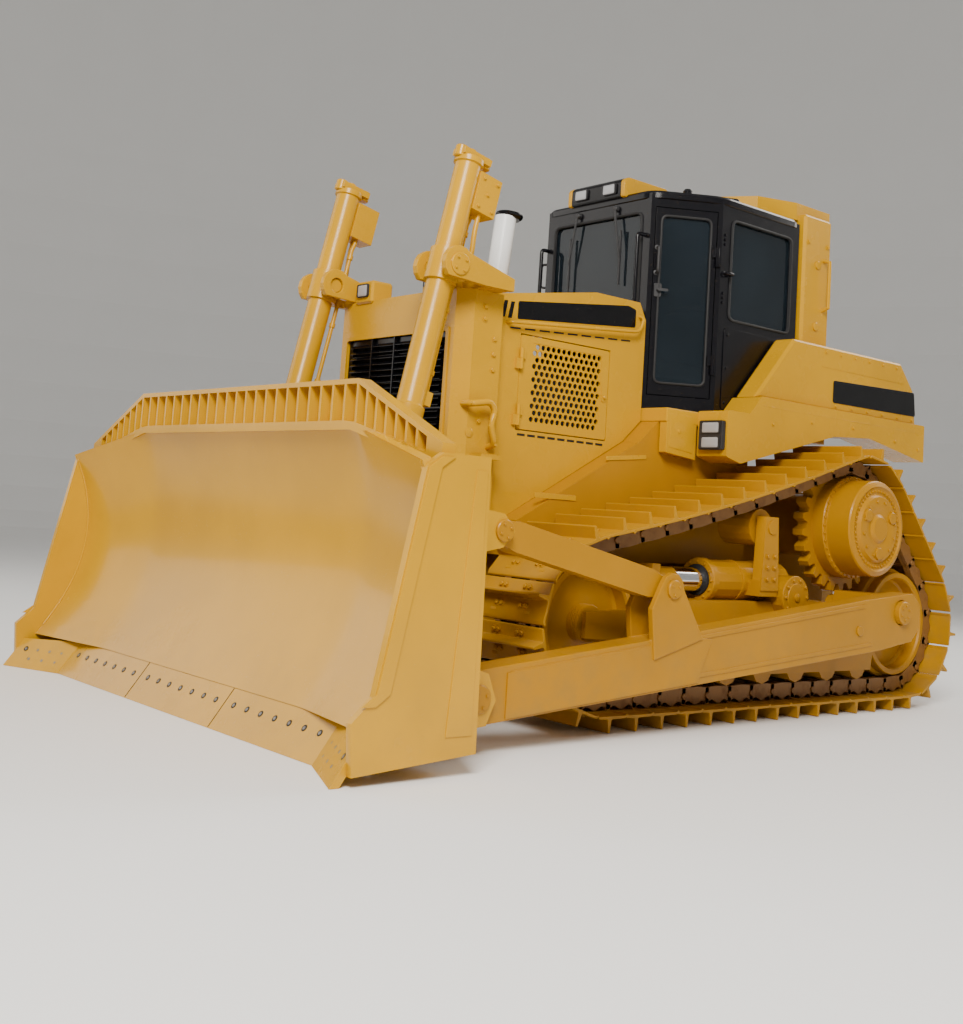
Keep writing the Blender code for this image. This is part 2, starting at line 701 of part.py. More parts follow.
def make_radiator_guard():
    """The heavy frame round the radiator, with a lamp pod on each side of its head."""
    front = GUARD_FRONT_Y
    plan = ((-GUARD_X, GUARD_REAR_Y), (-GUARD_X, front + 0.10), (-GUARD_X + 0.07, front),
            (GUARD_X - 0.07, front), (GUARD_X, front + 0.10), (GUARD_X, GUARD_REAR_Y))
    shapes = [outline([plan], *GUARD_Z, "Z")]
    for side in (1, -1):
        low, high = flip(side, *PODS_X)
        shapes.append(box((low, front - 0.02, GUARD_Z[1] - 0.02),
                          (high, front + 0.16, GUARD_Z[1] + 0.140), 0.015))
        shapes += lenses([POD_LAMP], side)
        shapes.append(tube([(side * x, y, z) for x, y, z in GRAB_BAR], GRAB_R))
        low, high = flip(side, GUARD_X - 0.020, GUARD_X + 0.110)
        shapes.append(box((low, *STEP[0]), (high, *STEP[1])))
    pocket = box((-CORE_X, front - 0.10, CORE_Z[0]), (CORE_X, front + 0.120, CORE_Z[1]))
    return fuse(shapes, [pocket])


def make_grille():
    """A louvred plate in the guard's opening."""
    rows = 12
    columns = 4
    margin = 0.045
    bar = 0.020
    low, high = -CORE_X + GAP, CORE_X - GAP
    foot, head = CORE_Z[0] + GAP, CORE_Z[1] - GAP
    width = (high - low - 2 * margin + bar) / columns
    height = (head - foot - 2 * margin + bar) / rows
    loops = [[(low, foot), (high, foot), (high, head), (low, head)]]
    for i in range(columns):
        for j in range(rows):
            x = low + margin + i * width
            z = foot + margin + j * height
            loops.append([(x, z), (x + width - bar, z), (x + width - bar, z + height - bar),
                          (x, z + height - bar)])
    return outline(loops, GUARD_FRONT_Y + 0.020, GUARD_FRONT_Y + 0.060, "Y")


def sill_line(offset):
    """The sill's top edge, raised by an offset, from the hood's front to its rear."""
    lift = offset / math.cos(math.atan2(SILL_KNEE[1] - SILL_NOSE[1], SILL_KNEE[0] - SILL_NOSE[0]))
    return [(HOOD_Y[0], SILL_NOSE[1] + lift), (SILL_NOSE[0], SILL_NOSE[1] + lift),
            (SILL_KNEE[0] - 0.008, SILL_KNEE[1] + lift), (DECK_Y[0] - 0.010, DECK_Z[0] + 0.003)]


def make_hood():
    """The folded cover over the engine, with an opening for each side door."""
    top = [(DECK_Y[0] - 0.010, HOOD_TOP_Z - 0.120), (-0.520, HOOD_TOP_Z), (-0.970, HOOD_TOP_Z),
           (HOOD_Y[0], HOOD_NOSE_Z)]
    outer = outline([sill_line(GAP) + top], -HOOD_X, HOOD_X, "X")
    inner_top = [(y, z - HOOD_T) for y, z in top]
    inner_top[0] = (inner_top[0][0] + 0.1, inner_top[0][1])
    inner_top[-1] = (inner_top[-1][0] - 0.1, inner_top[-1][1] - 0.016)
    hollow = outline([[(HOOD_Y[0] - 0.1, 1.0), (DECK_Y[0] + 0.09, 1.0)] + inner_top],
                     -HOOD_X + HOOD_T, HOOD_X - HOOD_T, "X")
    doors = box((-HOOD_X - 0.1, DOOR_Y[0], DOOR_Z[0]), (HOOD_X + 0.1, DOOR_Y[1], DOOR_Z[1]))
    shell = fuse([outer], [hollow, doors, stack_pipe(STACK_R + RUN, 2.3, 3.2)])
    return fuse([shell] + engine_knuckles(1, -1) + engine_knuckles(-1, -1))


def stack_point(z):
    """The leaning stack's middle at one height."""
    return (0.0, STACK_Y + STACK_LEAN * (z - ENGINE[1][2]) / (STACK_TOP_Z - ENGINE[1][2]), z)


def stack_pipe(radius, low, high):
    """A straight length of the leaning pipe."""
    return rod(stack_point(low), stack_point(high), radius, 16)


def make_stack():
    """The exhaust pipe with its wider sleeve and rain cap."""
    foot = box((-0.08, STACK_Y - 0.08, ENGINE[1][2] + GAP), (0.08, STACK_Y + 0.08, ENGINE[1][2] + 0.06))
    pipe = stack_pipe(STACK_R, ENGINE[1][2] + 0.03, 3.250)
    neck = stack_pipe(STACK_R - 0.012, 3.240, STACK_TOP_Z - 0.012)
    cap = stack_pipe(STACK_R + 0.010, STACK_TOP_Z - 0.030, STACK_TOP_Z)
    return fuse([foot, pipe, neck, cap])


def make_engine_door(side):
    """A flat side door, hung at its front edge."""
    low, high = flip(side, HOOD_X - DOOR_T, HOOD_X)
    panel = box((low, DOOR_Y[0] + RUN, DOOR_Z[0] + RUN), (high, DOOR_Y[1] - RUN, DOOR_Z[1] - RUN))
    return fuse([panel] + engine_knuckles(side, 1))


def engine_knuckles(side, way):
    """Hinge knuckles: the door's (way 1) turn between the hood's (way -1), one above each."""
    x = side * (HOOD_X + HINGE_OUT)
    low, high = flip(side, HOOD_X - 0.010, HOOD_X + HINGE_OUT)
    shapes = []
    for z in (DOOR_Z[0] + 0.100, DOOR_Z[1] - 0.100 - KNUCKLE):
        foot = z if way > 0 else z - KNUCKLE - GAP
        ends = sorted((DOOR_Y[0] + way * 0.003, DOOR_Y[0] + way * LEAF))
        shapes.append(rod((x, DOOR_Y[0], foot), (x, DOOR_Y[0], foot + KNUCKLE), KNUCKLE_R, 8))
        shapes.append(box((low, ends[0], foot), (high, ends[1], foot + KNUCKLE)))
    return shapes


def cab_wall(side, along, depth, z):
    """A slab in the plane of the slanting door wall, by its run, depth and height."""
    start = Vector(CAB_PLAN[0])
    run = (Vector(CAB_PLAN[1]) - start).normalized()
    inward = Vector((-run.y, run.x))
    corners = []
    for a, d in ((along[0], depth[0]), (along[1], depth[0]), (along[1], depth[1]),
                 (along[0], depth[1])):
        point = start + run * a + inward * d
        corners.append((side * point.x, point.y))
    return outline([corners], *z, "Z")


def cab_knuckles(side, way):
    """The cab door's hinge knuckles (way 1) and the shell's (way -1), one above each."""
    seam = DOOR_RUN - DOOR_EDGE
    x, y, floor = cab_hinge(side)
    shapes = []
    for z in (CAB_DOOR_Z[0] + 0.250, CAB_DOOR_Z[1] - 0.350):
        foot = z if way > 0 else z - KNUCKLE - GAP
        shapes.append(rod((x, y, foot), (x, y, foot + KNUCKLE), KNUCKLE_R, 8))
        run = (seam - LEAF, seam - 0.003) if way > 0 else (seam + 0.003, seam + 0.030)
        shapes.append(cab_wall(side, run, (-HINGE_OUT, 0.010), (foot, foot + KNUCKLE)))
    return shapes


def make_cab_shell():
    """Floor, roof and walls of the cab, with its windows and door openings cut."""
    half = list(CAB_PLAN)
    plan = half + [(-x, y) for x, y in reversed(half)]
    inner = inset(plan, CAB_WALL)
    shell = outline([plan], *CAB_Z, "Z")
    room = outline([inner], CAB_Z[0] + CAB_WALL, CAB_Z[1] - CAB_ROOF_T, "Z")
    cuts = [room]
    cuts.append(window_box("front", CAB_WALL))
    cuts.append(window_box("back", CAB_WALL))
    for side in (1, -1):
        cuts.append(window_box(side_name("side", side), CAB_WALL))
        cuts.append(cab_wall(side, (DOOR_EDGE, DOOR_RUN - DOOR_EDGE), (-0.05, CAB_WALL + 0.05),
                             CAB_DOOR_Z))
    shell = fuse([shell], cuts)
    return fuse([shell] + cab_knuckles(1, -1) + cab_knuckles(-1, -1))


def inset(plan, depth):
    """A convex outline moved inwards by a wall's thickness."""
    count = len(plan)
    lines = []
    for i in range(count):
        a = Vector(plan[i])
        along = (Vector(plan[(i + 1) % count]) - a).normalized()
        lines.append((a + Vector((-along.y, along.x)) * depth, along))
    points = []
    for i in range(count):
        (p, u), (q, v) = lines[i - 1], lines[i]
        cross = u.x * v.y - u.y * v.x
        t = ((q.x - p.x) * v.y - (q.y - p.y) * v.x) / cross
        points.append(tuple(p + u * t))
    return points


WINDOWS = {  # across X, across Y, across Z of each window's opening
    "front": ((-0.460, 0.460), (CAB_PLAN[0][1], CAB_PLAN[0][1] + CAB_WALL), (2.600, HEAD_Z)),
    "back": ((-0.520, 0.520), (CAB_PLAN[2][1] - CAB_WALL, CAB_PLAN[2][1]), (SILL_Z, HEAD_Z)),
    "side_left": ((CAB_PLAN[1][0] - CAB_WALL, CAB_PLAN[1][0]), (0.200, 0.930), (SILL_Z, HEAD_Z)),
    "side_right": ((-CAB_PLAN[1][0], CAB_WALL - CAB_PLAN[1][0]), (0.200, 0.930), (SILL_Z, HEAD_Z)),
}


def window_box(which, through):
    """A window's opening, drawn out through the wall."""
    spans = [list(span) for span in WINDOWS[which]]
    thin = 0 if which.startswith("side") else 1
    spans[thin][0] -= through
    spans[thin][1] += through
    return box(*zip(*spans))


def make_pane(which):
    """A sheet of glass that fits in its opening."""
    spans = [[a + GAP, b - GAP] for a, b in WINDOWS[which]]
    thin = 0 if which.startswith("side") else 1
    middle = sum(spans[thin]) / 2
    spans[thin] = [middle - PANE_T / 2, middle + PANE_T / 2]
    return box(*zip(*spans))


def door_window(grow):
    """Run and height of the door's glass."""
    return ((DOOR_EDGE + DOOR_FRAME - grow, DOOR_RUN - DOOR_EDGE - DOOR_FRAME + grow),
            (CAB_DOOR_Z[0] + 0.10 - grow, CAB_DOOR_Z[1] - 0.07 + grow))


def make_cab_door(side):
    """The door's frame on the slanting wall."""
    run, height = door_window(0.0)
    z = (CAB_DOOR_Z[0] + RUN, CAB_DOOR_Z[1] - RUN)
    leaf = cab_wall(side, (DOOR_EDGE + RUN, DOOR_RUN - DOOR_EDGE - RUN), (0.0, 0.040), z)
    leaf = fuse([leaf], [cab_wall(side, run, (-0.05, 0.10), height)])
    return fuse([leaf] + cab_knuckles(side, 1))


def make_door_glass(side):
    """The glass in the door."""
    run, height = door_window(-GAP)
    return cab_wall(side, run, (0.014, 0.014 + PANE_T), height)


def cab_hinge(side):
    """A point on the door's hinge line, at the door's foot."""
    start = Vector(CAB_PLAN[0])
    run = (Vector(CAB_PLAN[1]) - start).normalized()
    point = start + run * (DOOR_RUN - DOOR_EDGE) + Vector((run.y, -run.x)) * HINGE_OUT
    return (side * point.x, point.y, CAB_DOOR_Z[0])


def lenses(lamps, side=1):
    """Square lamp faces that stand a little proud of what carries them."""
    shapes = []
    for x, y, z, half_x, half_z in lamps:
        low, high = flip(side, x - half_x, x + half_x)
        shapes.append(box((low, y - LENS_OUT, z - half_z), (high, y + 0.020, z + half_z)))
    return shapes


def make_lamp_box():
    """The head on the cab's roof that holds the front lamps."""
    return fuse([box(*LAMP_BOX, 0.02)] + lenses(CAB_LAMPS))


def make_seat():
    """The driver's seat: base, cushion and back."""
    floor = CAB_Z[0] + CAB_WALL + GAP
    return fuse([box((-0.20, 0.25, floor), (0.20, 0.70, floor + 0.30)),
                 box((-0.27, 0.18, floor + 0.28), (0.27, 0.74, floor + 0.44), 0.03),
                 box((-0.26, 0.64, floor + 0.40), (0.26, 0.80, floor + 1.12), 0.03)])


def make_rops():
    """Two posts and the canopy of the roll-over frame."""
    half = list(ROPS_PLAN)
    plan = half + [(-x, y) for x, y in reversed(half)]
    shapes = [outline([plan], *ROPS_Z, "Z")]
    for side in (1, -1):
        low, high = flip(side, *POST_X)
        shapes.append(box((low, POST_Y[0], TANK_Z[1] + GAP), (high, POST_Y[1], ROPS_Z[0] + 0.05), 0.02))
        shapes.append(tube([(side * x, POST_GRIP_Y, z) for x, z in POST_GRIP], GRAB_R))
    return fuse(shapes)


def make_fender(side):
    """The beam over the track, with two lamps one above the other at its front."""
    return fuse([side_outline([FENDER_SIDE], FENDER_X, side)] + lenses(FENDER_LAMPS, side))


def make_tank():
    """The tank behind the cab, with an arm on each side of it."""
    shapes = [outline([TANK_SIDE], -TANK_X, TANK_X, "X")]
    for side in (1, -1):
        shapes.append(side_outline([BOX_SIDE], (CAB_PLAN[1][0] + 0.020, TANK_X), side))
    for x, y in CAPS:
        shapes.append(rod((x, y, TANK_Z[1] - 0.020), (x, y, TANK_Z[1] + CAP_H), CAP_R, 12))
    return fuse(shapes)


def bowl_point(s, x):
    """The moldboard's face: s from the cutting edge to the crest, at one place across."""
    wing = max(0.0, (abs(x) - WING_X) / (BLADE_X - WING_X))
    crest = CREST_Z - wing * (CREST_Z - END_SIDE[3][1] - 0.010)
    y = EDGE_Y + (CREST_Y - EDGE_Y) * s + BOWL * 4 * s * (1 - s) - WING_SWEEP * wing
    return (x, y, EDGE_Z + (crest - EDGE_Z) * s)


def behind(z):
    """A point inside the moldboard's thickness, at one height of its middle part."""
    return (bowl_point((z - EDGE_Z) / (CREST_Z - EDGE_Z), 0.0)[1] + SKIN / 2, z)


def moldboard():
    """The curved face as an open sheet, given its thickness backwards."""
    rows = 8
    across = (END_T / 2 - BLADE_X, -WING_X, WING_X, BLADE_X - END_T / 2)
    bm = bmesh.new()
    grid = [[bm.verts.new(bowl_point(i / rows, x)) for x in across] for i in range(rows + 1)]
    for low, high in zip(grid, grid[1:]):
        for k in range(len(across) - 1):
            bm.faces.new((low[k], low[k + 1], high[k + 1], high[k]))
    mesh = bpy.data.meshes.new("moldboard")
    bm.to_mesh(mesh)
    bm.free()
    sheet = bpy.data.objects.new("moldboard", mesh)
    bpy.context.scene.collection.objects.link(sheet)
    wall = sheet.modifiers.new("skin", "SOLIDIFY")
    wall.thickness = SKIN
    wall.offset = -1.0
    return freeze(sheet)


def edge_frame():
    """Direction up the cutting edge, and its thickness direction backwards."""
    rise = Vector((EDGE_Y - CUT_TIP[0], EDGE_Z - CUT_TIP[1])).normalized()
    return rise, Vector((rise.y, -rise.x))


def edge_section(shift=0.0, length=EDGE_LEN):
    """The cutting edge's section, cut level at the ground."""
    rise, back = edge_frame()
    tip = Vector((CUT_TIP[0] + shift, CUT_TIP[1]))
    top = tip + rise * length
    return [tuple(tip), tuple(top), tuple(top + back * EDGE_T),
            (tip.x + EDGE_T / back.x, tip.y)]


def loft(low, high, low_x, high_x):
    """A solid between two unlike sections in planes across X."""
    bm = bmesh.new()
    first = [bm.verts.new((low_x, *p)) for p in low]
    last = [bm.verts.new((high_x, *p)) for p in high]
    count = len(low)
    for i in range(count):
        j = (i + 1) % count
        bm.faces.new((first[i], first[j], last[j], last[i]))
    bm.faces.new(first)
    bm.faces.new(last)
    return as_object(bm)


def make_cutting_edge():
    """The straight edge with an end bit on each side, swept forward."""
    sections = edge_section()
    shapes = [outline([sections], -CUT_X, CUT_X, "X")]
    tip = edge_section(BIT_TIP_Y - CUT_TIP[0], EDGE_LEN - 0.030)
    for side in (1, -1):
        start = edge_section(-0.004)
        shapes.append(loft(start, tip, side * (CUT_X - 0.010), side * (BLADE_X - END_T - GAP)))
    return fuse(shapes)


def guard_windows():
    """Openings between the spill guard's ribs, as outlines across X and Z."""
    def span(x0, x1):
        def foot(x):
            wing = max(0.0, (abs(x) - WING_X) / (BLADE_X - WING_X))
            return CREST_Z - wing * (CREST_Z - END_SIDE[3][1]) + 0.020

        def head(x):
            slope = (GUARD_TOP[1] - GUARD_END[1]) / (GUARD_END[0] - GUARD_TOP[0])
            return GUARD_TOP[1] - 0.028 - max(0.0, abs(x) - GUARD_TOP[0]) * slope
        return [(x0, foot(x0)), (x1, foot(x1)), (x1, head(x1)), (x0, head(x0))]

    loops = []
    pitch = 2 * GUARD_TOP[0] / RIBS
    for i in range(RIBS):
        x = -GUARD_TOP[0] + pitch * i
        loops.append(span(x + RIB_T / 2, x + pitch - RIB_T / 2))
    wing = (GUARD_END[0] - 0.120 - GUARD_TOP[0]) / WING_RIBS
    for i in range(WING_RIBS):
        x = GUARD_TOP[0] + wing * i
        loops.append(span(x + RIB_T / 2, x + wing - RIB_T / 2))
        loops.append([(-a, b) for a, b in reversed(loops[-1])])
    return loops


def make_blade():
    """Moldboard, end plates, back beams, ribs, lugs and the spill guard."""
    base, back = edge_frame()
    foot = Vector((CUT_TIP[0] + EDGE_T / back.x + GAP / back.x, CUT_TIP[1]))
    seat = [foot + base * 0.070, foot + base * 0.240, foot + base * 0.240 + back * 0.060,
            foot + base * 0.090 + back * 0.060]
    inside = BLADE_X - END_T / 2
    low_beam = [behind(0.300), (-3.500, 0.150), (-3.430, 0.110), (BACK_Y, 0.110),
                (BACK_Y, 0.600), behind(0.600), behind(0.450)]
    top_beam = [behind(1.230), (BACK_Y, 1.250), (BACK_Y, 1.380), behind(1.480), behind(1.350)]
    shapes = [moldboard(), outline([seat], -CUT_X - 0.10, CUT_X + 0.10, "X"),
              outline([low_beam], -inside, inside, "X"), outline([top_beam], -inside, inside, "X")]
    for side in (1, -1):
        shapes.append(side_outline([END_SIDE], (BLADE_X - END_T, BLADE_X), side))
        rib = [behind(0.560), (BACK_Y - 0.010, 0.560), (BACK_Y - 0.010, 1.290), behind(1.290),
               behind(1.050), behind(0.800)]
        for x in (0.140, 0.860, 1.390, 1.830):
            shapes.append(side_outline([rib], (x, x + 0.030), side))
        shapes += blade_lugs(side)
    top = GUARD_TOP
    end = GUARD_END
    rim = [(-end[0], end[1] - 0.130), (-end[0], end[1]), (-top[0], top[1]), (top[0], top[1]),
           end, (end[0], end[1] - 0.130), (WING_X, CREST_Z - 0.030), (-WING_X, CREST_Z - 0.030)]
    shapes.append(outline([rim], GUARD_RIB_Y, GUARD_PLATE_Y[1], "Y"))
    pockets = outline(guard_windows(), GUARD_RIB_Y - 0.050, GUARD_PLATE_Y[0], "Y")
    return fuse(shapes, [pockets])


def blade_lugs(side):
    """Ears on the blade's back for the lift rod, the push arm and the brace."""
    root = BACK_Y - 0.040
    y, z = ROD_EYE
    rod_ear = [(root, z - 0.26), (root, z + 0.26)] + circle(ROD_EYE, 0.105, 6, 0.45 * math.pi,
                                                            -0.90 * math.pi)
    arm_ear = [(root, 0.130), (root, 0.560), (-2.760, 0.440), (-2.700, 0.300), (-2.760, 0.170)]
    y, z = BRACE_FRONT
    brace_ear = [(root - 0.060, z - 0.20), (root - 0.060, z + 0.16), (y, z + 0.09),
                 (y + 0.08, z), (y, z - 0.09)]
    shapes = []
    gap = EYE_HALF + RUN
    for ear, low, high in ((rod_ear, CYL_X + gap, CYL_X + gap + LUG_T),
                           (rod_ear, CYL_X - gap - LUG_T, CYL_X - gap),
                           (arm_ear, ARM_X[1] + GAP, ARM_X[1] + 0.045),
                           (arm_ear, ARM_X[0] - 0.045, ARM_X[0] - GAP),
                           (brace_ear, BRACE_X[1] + GAP, BRACE_X[1] + 0.035),
                           (brace_ear, BRACE_X[0] - 0.035, BRACE_X[0] - GAP)):
        shapes.append(side_outline([ear], (low, high), side))
    return shapes


def make_push_arm(side):
    """A box beam beside the track, from the blade to the trunnion, with the brace's ears."""
    arm = side_outline([ARM_SIDE], ARM_X, side)
    y, z = BRACE_REAR
    ear = [(y - 0.14, z - 0.42), (y - 0.18, z - 0.12)] + circle(BRACE_REAR, 0.100, 5, 0.9 * math.pi,
                                                              -0.9 * math.pi) + [(y + 0.30, z - 0.30)]
    shapes = [arm]
    for low, high in ((ARM_X[0] - 0.020, BRACE_X[0] - GAP), (BRACE_X[1] + GAP, ARM_X[1] + 0.020)):
        shapes.append(side_outline([ear], (low, high), side))
    bore = cross_rod((LIFT_Y, LIFT_Z), (ARM_X[0] - 0.05, ARM_X[1] + 0.05), TRUNNION_R + RUN, side, 18)
    return fuse(shapes, [bore])


def brace_ends():
    """The brace's two pin places in the side plane, and its direction."""
    front = Vector(BRACE_FRONT)
    rear = Vector(BRACE_REAR)
    return front, rear, (rear - front).normalized()


def make_brace():
    """The left brace: a box section with rounded ends between two pins."""
    front, rear, along = brace_ends()
    up = Vector((-along.y, along.x))
    deep = 0.085
    body = [tuple(front + up * 0.060), tuple(front - up * 0.060), tuple(front + along * 0.16 - up * deep),
            tuple(rear - along * 0.16 - up * deep), tuple(rear - up * 0.055),
            tuple(rear + up * 0.055), tuple(rear - along * 0.16 + up * deep),
            tuple(front + along * 0.16 + up * deep)]
    ends = [cross_rod(tuple(p), BRACE_X, 0.075, 1, 14) for p in (front, rear)]
    return fuse([side_outline([body], (BRACE_X[0] + 0.010, BRACE_X[1] - 0.010), 1)] + ends)


def make_tilt_cylinder():
    """The right brace is a cylinder: barrel at the rear, rod at the front."""
    front, rear, along = brace_ends()
    x = -(BRACE_X[0] + BRACE_X[1]) / 2
    start = front + along * 0.42
    shapes = [rod((x, *start), (x, *(rear - along * 0.190)), 0.088, 14),
              rod((x, *(rear - along * 0.20)), (x, *(rear - along * 0.03)), 0.055, 12),
              rod((x, *(front + along * 0.03)), (x, *(start + along * 0.02)), 0.045, 12)]
    for p in (front, rear):
        shapes.append(cross_rod(tuple(p), BRACE_X, 0.075, -1, 14))
    return fuse(shapes)


def lift_axis():
    """Direction from the rod's eye to the yoke in the side plane, and their distance."""
    span = Vector(YOKE) - Vector(ROD_EYE)
    return span.normalized(), span.length


def cylinder_point(side, distance):
    """A point on the lift cylinder's axis, upwards from its yoke."""
    along = lift_axis()[0]
    point = Vector(YOKE) + along * distance
    return (side * CYL_X, *point)


def valve_block(side):
    """The square valve behind the barrel's upper end, turned with the barrel."""
    along = lift_axis()[0]
    behind_it = Vector((-along.y, along.x))
    if behind_it.x < 0:
        behind_it = -behind_it
    start = Vector(YOKE) + along * VALVE_UP[0]
    end = Vector(YOKE) + along * VALVE_UP[1]
    corners = [start, start + behind_it * VALVE_OUT, end + behind_it * VALVE_OUT, end]
    return side_outline([[tuple(c) for c in corners]], (CYL_X - VALVE_HALF, CYL_X + VALVE_HALF), side)


def make_lift_barrel(side):
    """The barrel, hung by its trunnion, bored for its rod."""
    shapes = [rod(cylinder_point(side, -BARREL_DOWN), cylinder_point(side, BARREL_UP), BARREL_R, 14),
              rod(cylinder_point(side, -0.11), cylinder_point(side, 0.11), BARREL_R + 0.020, 14),
              rod(cylinder_point(side, -BARREL_DOWN - 0.010),
                  cylinder_point(side, 0.09 - BARREL_DOWN), BARREL_R + 0.014, 14),
              rod(cylinder_point(side, BARREL_UP - 0.070),
                  cylinder_point(side, BARREL_UP + 0.010), BARREL_R + 0.022, 14),
              cross_rod(YOKE, (CYL_X - CHEEK_IN - CHEEK_T - 0.012, CYL_X + CHEEK_IN + CHEEK_T + 0.012),
                        PIN_R, side, 14),
              cross_rod(YOKE, (CYL_X - CHEEK_IN + GAP, CYL_X + CHEEK_IN - GAP), PIN_R + 0.022,
                        side, 14)]
    shapes.append(valve_block(side))
    bore = rod(cylinder_point(side, 0.060 - BARREL_DOWN), cylinder_point(side, BARREL_UP - 0.040),
               BORE_R, 14)
    gland = rod(cylinder_point(side, -BARREL_DOWN - 0.10), cylinder_point(side, 0.10 - BARREL_DOWN),
                ROD_R + GAP, 14)
    return fuse(shapes, [bore, gland])


def make_lift_rod(side):
    """The rod with its eye, which stands between the blade's ears."""
    along, length = lift_axis()
    eye = cross_rod(ROD_EYE, (CYL_X - EYE_HALF, CYL_X + EYE_HALF), EYE_R, side, 16)
    bar = rod(cylinder_point(side, 0.03 - length), cylinder_point(side, ROD_LEN - length), ROD_R, 14)
    return fuse([eye, bar])


def make_lift_bracket(side):
    """The yoke on the radiator guard's head: a foot and two cheeks round the trunnion."""
    y, z = YOKE
    foot = GUARD_Z[1] + GAP
    cheek = circle(YOKE, 0.115, 8, 0.25 * math.pi, math.pi) + [(-2.180, foot), (-1.940, foot),
                                                              (-1.940, foot + 0.080)]
    shapes = []
    for low in (CYL_X - CHEEK_IN - CHEEK_T, CYL_X + CHEEK_IN):
        shapes.append(side_outline([cheek], (low, low + CHEEK_T), side))
    low, high = flip(side, CYL_X - CHEEK_IN - 0.020, CYL_X + CHEEK_IN + 0.020)
    shapes.append(box((low, -2.140, foot), (high, -1.950, foot + 0.060)))
    pin = cross_rod(YOKE, (0.3, 1.0), PIN_R + 0.002, side, 14)
    return fuse(shapes, [pin])


FRONT_Y = solve_front_y()


def main():
    """Build the machine and hang each piece on the empty that carries it."""
    yellow = make_material("yellow_paint", PAINT, 0.32)
    track_steel = make_material("track_steel", (0.62, 0.37, 0.06), 0.45)
    black = make_material("black_paint", DARK, 0.30)
    glass = make_material("tinted_glass", (0.08, 0.12, 0.15), 0.05, alpha=0.5)
    chrome = make_material("chromed_rod", (0.75, 0.76, 0.78), 0.12, 1.0)
    white = make_material("stack_paint", (0.78, 0.80, 0.80), 0.35)
    cloth = make_material("seat_cloth", (0.03, 0.03, 0.035), 0.9)
    iron = make_material("engine_iron", (0.06, 0.06, 0.06), 0.6)

    root = mount_empty("machine", (0.0, 0.0, 0.0))
    place("main_frame", make_main_frame(), yellow, root)
    place("cab_deck", make_deck(), yellow, root)
    place("engine_block", make_engine(), iron, root)
    place("radiator_guard", make_radiator_guard(), yellow, root)
    place("grille", make_grille(), black, root)
    place("hood", make_hood(), yellow, root)
    place("exhaust_stack", make_stack(), white, root)
    place("cab_shell", make_cab_shell(), black, root)
    place("windshield", make_pane("front"), glass, root)
    place("rear_glass", make_pane("back"), glass, root)
    place("cab_lamp_box", make_lamp_box(), yellow, root)
    place("seat", make_seat(), cloth, root)
    place("rops", make_rops(), yellow, root)
    place("fuel_tank", make_tank(), yellow, root)
    for side in (1, -1):
        place(side_name("side_glass", side), make_pane(side_name("side", side)), glass, root)
        place(side_name("fender", side), make_fender(side), yellow, root)
        place(side_name("lift_bracket", side), make_lift_bracket(side), yellow, root)
        place(side_name("final_drive", side), make_final_drive(side), yellow, root)
        place(side_name("front_idler", side), make_idler(side, (FRONT_Y, IDLER_Z)), yellow, root)
        place(side_name("rear_idler", side), make_idler(side, (REAR_Y, IDLER_Z)), yellow, root)
        place(side_name("track_frame", side), make_track_frame(side), yellow, root)
        place(side_name("track", side), make_track(side), track_steel, root)

    lift = mount_empty("blade_lift_axis", (0.0, LIFT_Y, LIFT_Z), root)
    place("blade", make_blade(), yellow, lift)
    place("cutting_edge", make_cutting_edge(), yellow, lift)
    place("brace_left", make_brace(), yellow, lift)
    place("tilt_cylinder", make_tilt_cylinder(), yellow, lift)
    for side in (1, -1):
        place(side_name("push_arm", side), make_push_arm(side), yellow, lift)
        yoke = mount_empty(side_name("yoke_axis", side), (side * CYL_X, *YOKE), root)
        place(side_name("lift_barrel", side), make_lift_barrel(side), yellow, yoke)
        place(side_name("lift_rod", side), make_lift_rod(side), chrome, yoke)
        hinge = mount_empty(side_name("cab_door_hinge", side), cab_hinge(side), root)
        place(side_name("cab_door", side), make_cab_door(side), black, hinge)
        place(side_name("door_glass", side), make_door_glass(side), glass, hinge)
        hinge = mount_empty(side_name("engine_door_hinge", side),
                            (side * (HOOD_X + HINGE_OUT), DOOR_Y[0], DOOR_Z[0]), root)
        place(side_name("engine_door", side), make_engine_door(side), yellow, hinge)


clear_scene()
PARTS = new_collection("bulldozer")
CUTTERS = new_collection("cutters")
main()
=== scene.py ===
# %% [markdown]
# # A crawler bulldozer, dressed
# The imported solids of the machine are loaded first. They fix every size and every joint.
# This lesson lays paint, steel, glass and rubber over them, and adds the finer shapes
# that a quick solid leaves out: louvres, bolts, rails, lamps and a jointed track.

# %% Load the frame
import math
import bmesh
import bpy
import numpy as np
from mathutils import Matrix, Vector


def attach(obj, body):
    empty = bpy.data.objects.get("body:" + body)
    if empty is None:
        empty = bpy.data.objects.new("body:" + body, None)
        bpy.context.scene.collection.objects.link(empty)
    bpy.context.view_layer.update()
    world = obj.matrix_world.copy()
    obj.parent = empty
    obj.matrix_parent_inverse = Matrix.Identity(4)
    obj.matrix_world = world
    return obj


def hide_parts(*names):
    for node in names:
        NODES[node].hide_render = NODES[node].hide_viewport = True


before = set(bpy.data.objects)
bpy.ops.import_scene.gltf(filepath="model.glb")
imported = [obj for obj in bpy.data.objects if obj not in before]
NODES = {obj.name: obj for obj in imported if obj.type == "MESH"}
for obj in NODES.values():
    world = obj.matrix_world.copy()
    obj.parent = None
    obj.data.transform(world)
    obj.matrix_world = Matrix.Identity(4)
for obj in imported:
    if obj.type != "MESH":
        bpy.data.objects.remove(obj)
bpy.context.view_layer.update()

# %% [markdown]
# ## A shape is a row of loops
# Sheet metal, tubes, turned parts and castings can all be seen as one closed loop of
# points that is carried along: straight for a plate, round an axis for a turned part,
# along a rail for a tube. So one function joins loops into a skin, and the others only
# work out where the loops go, as whole arrays.

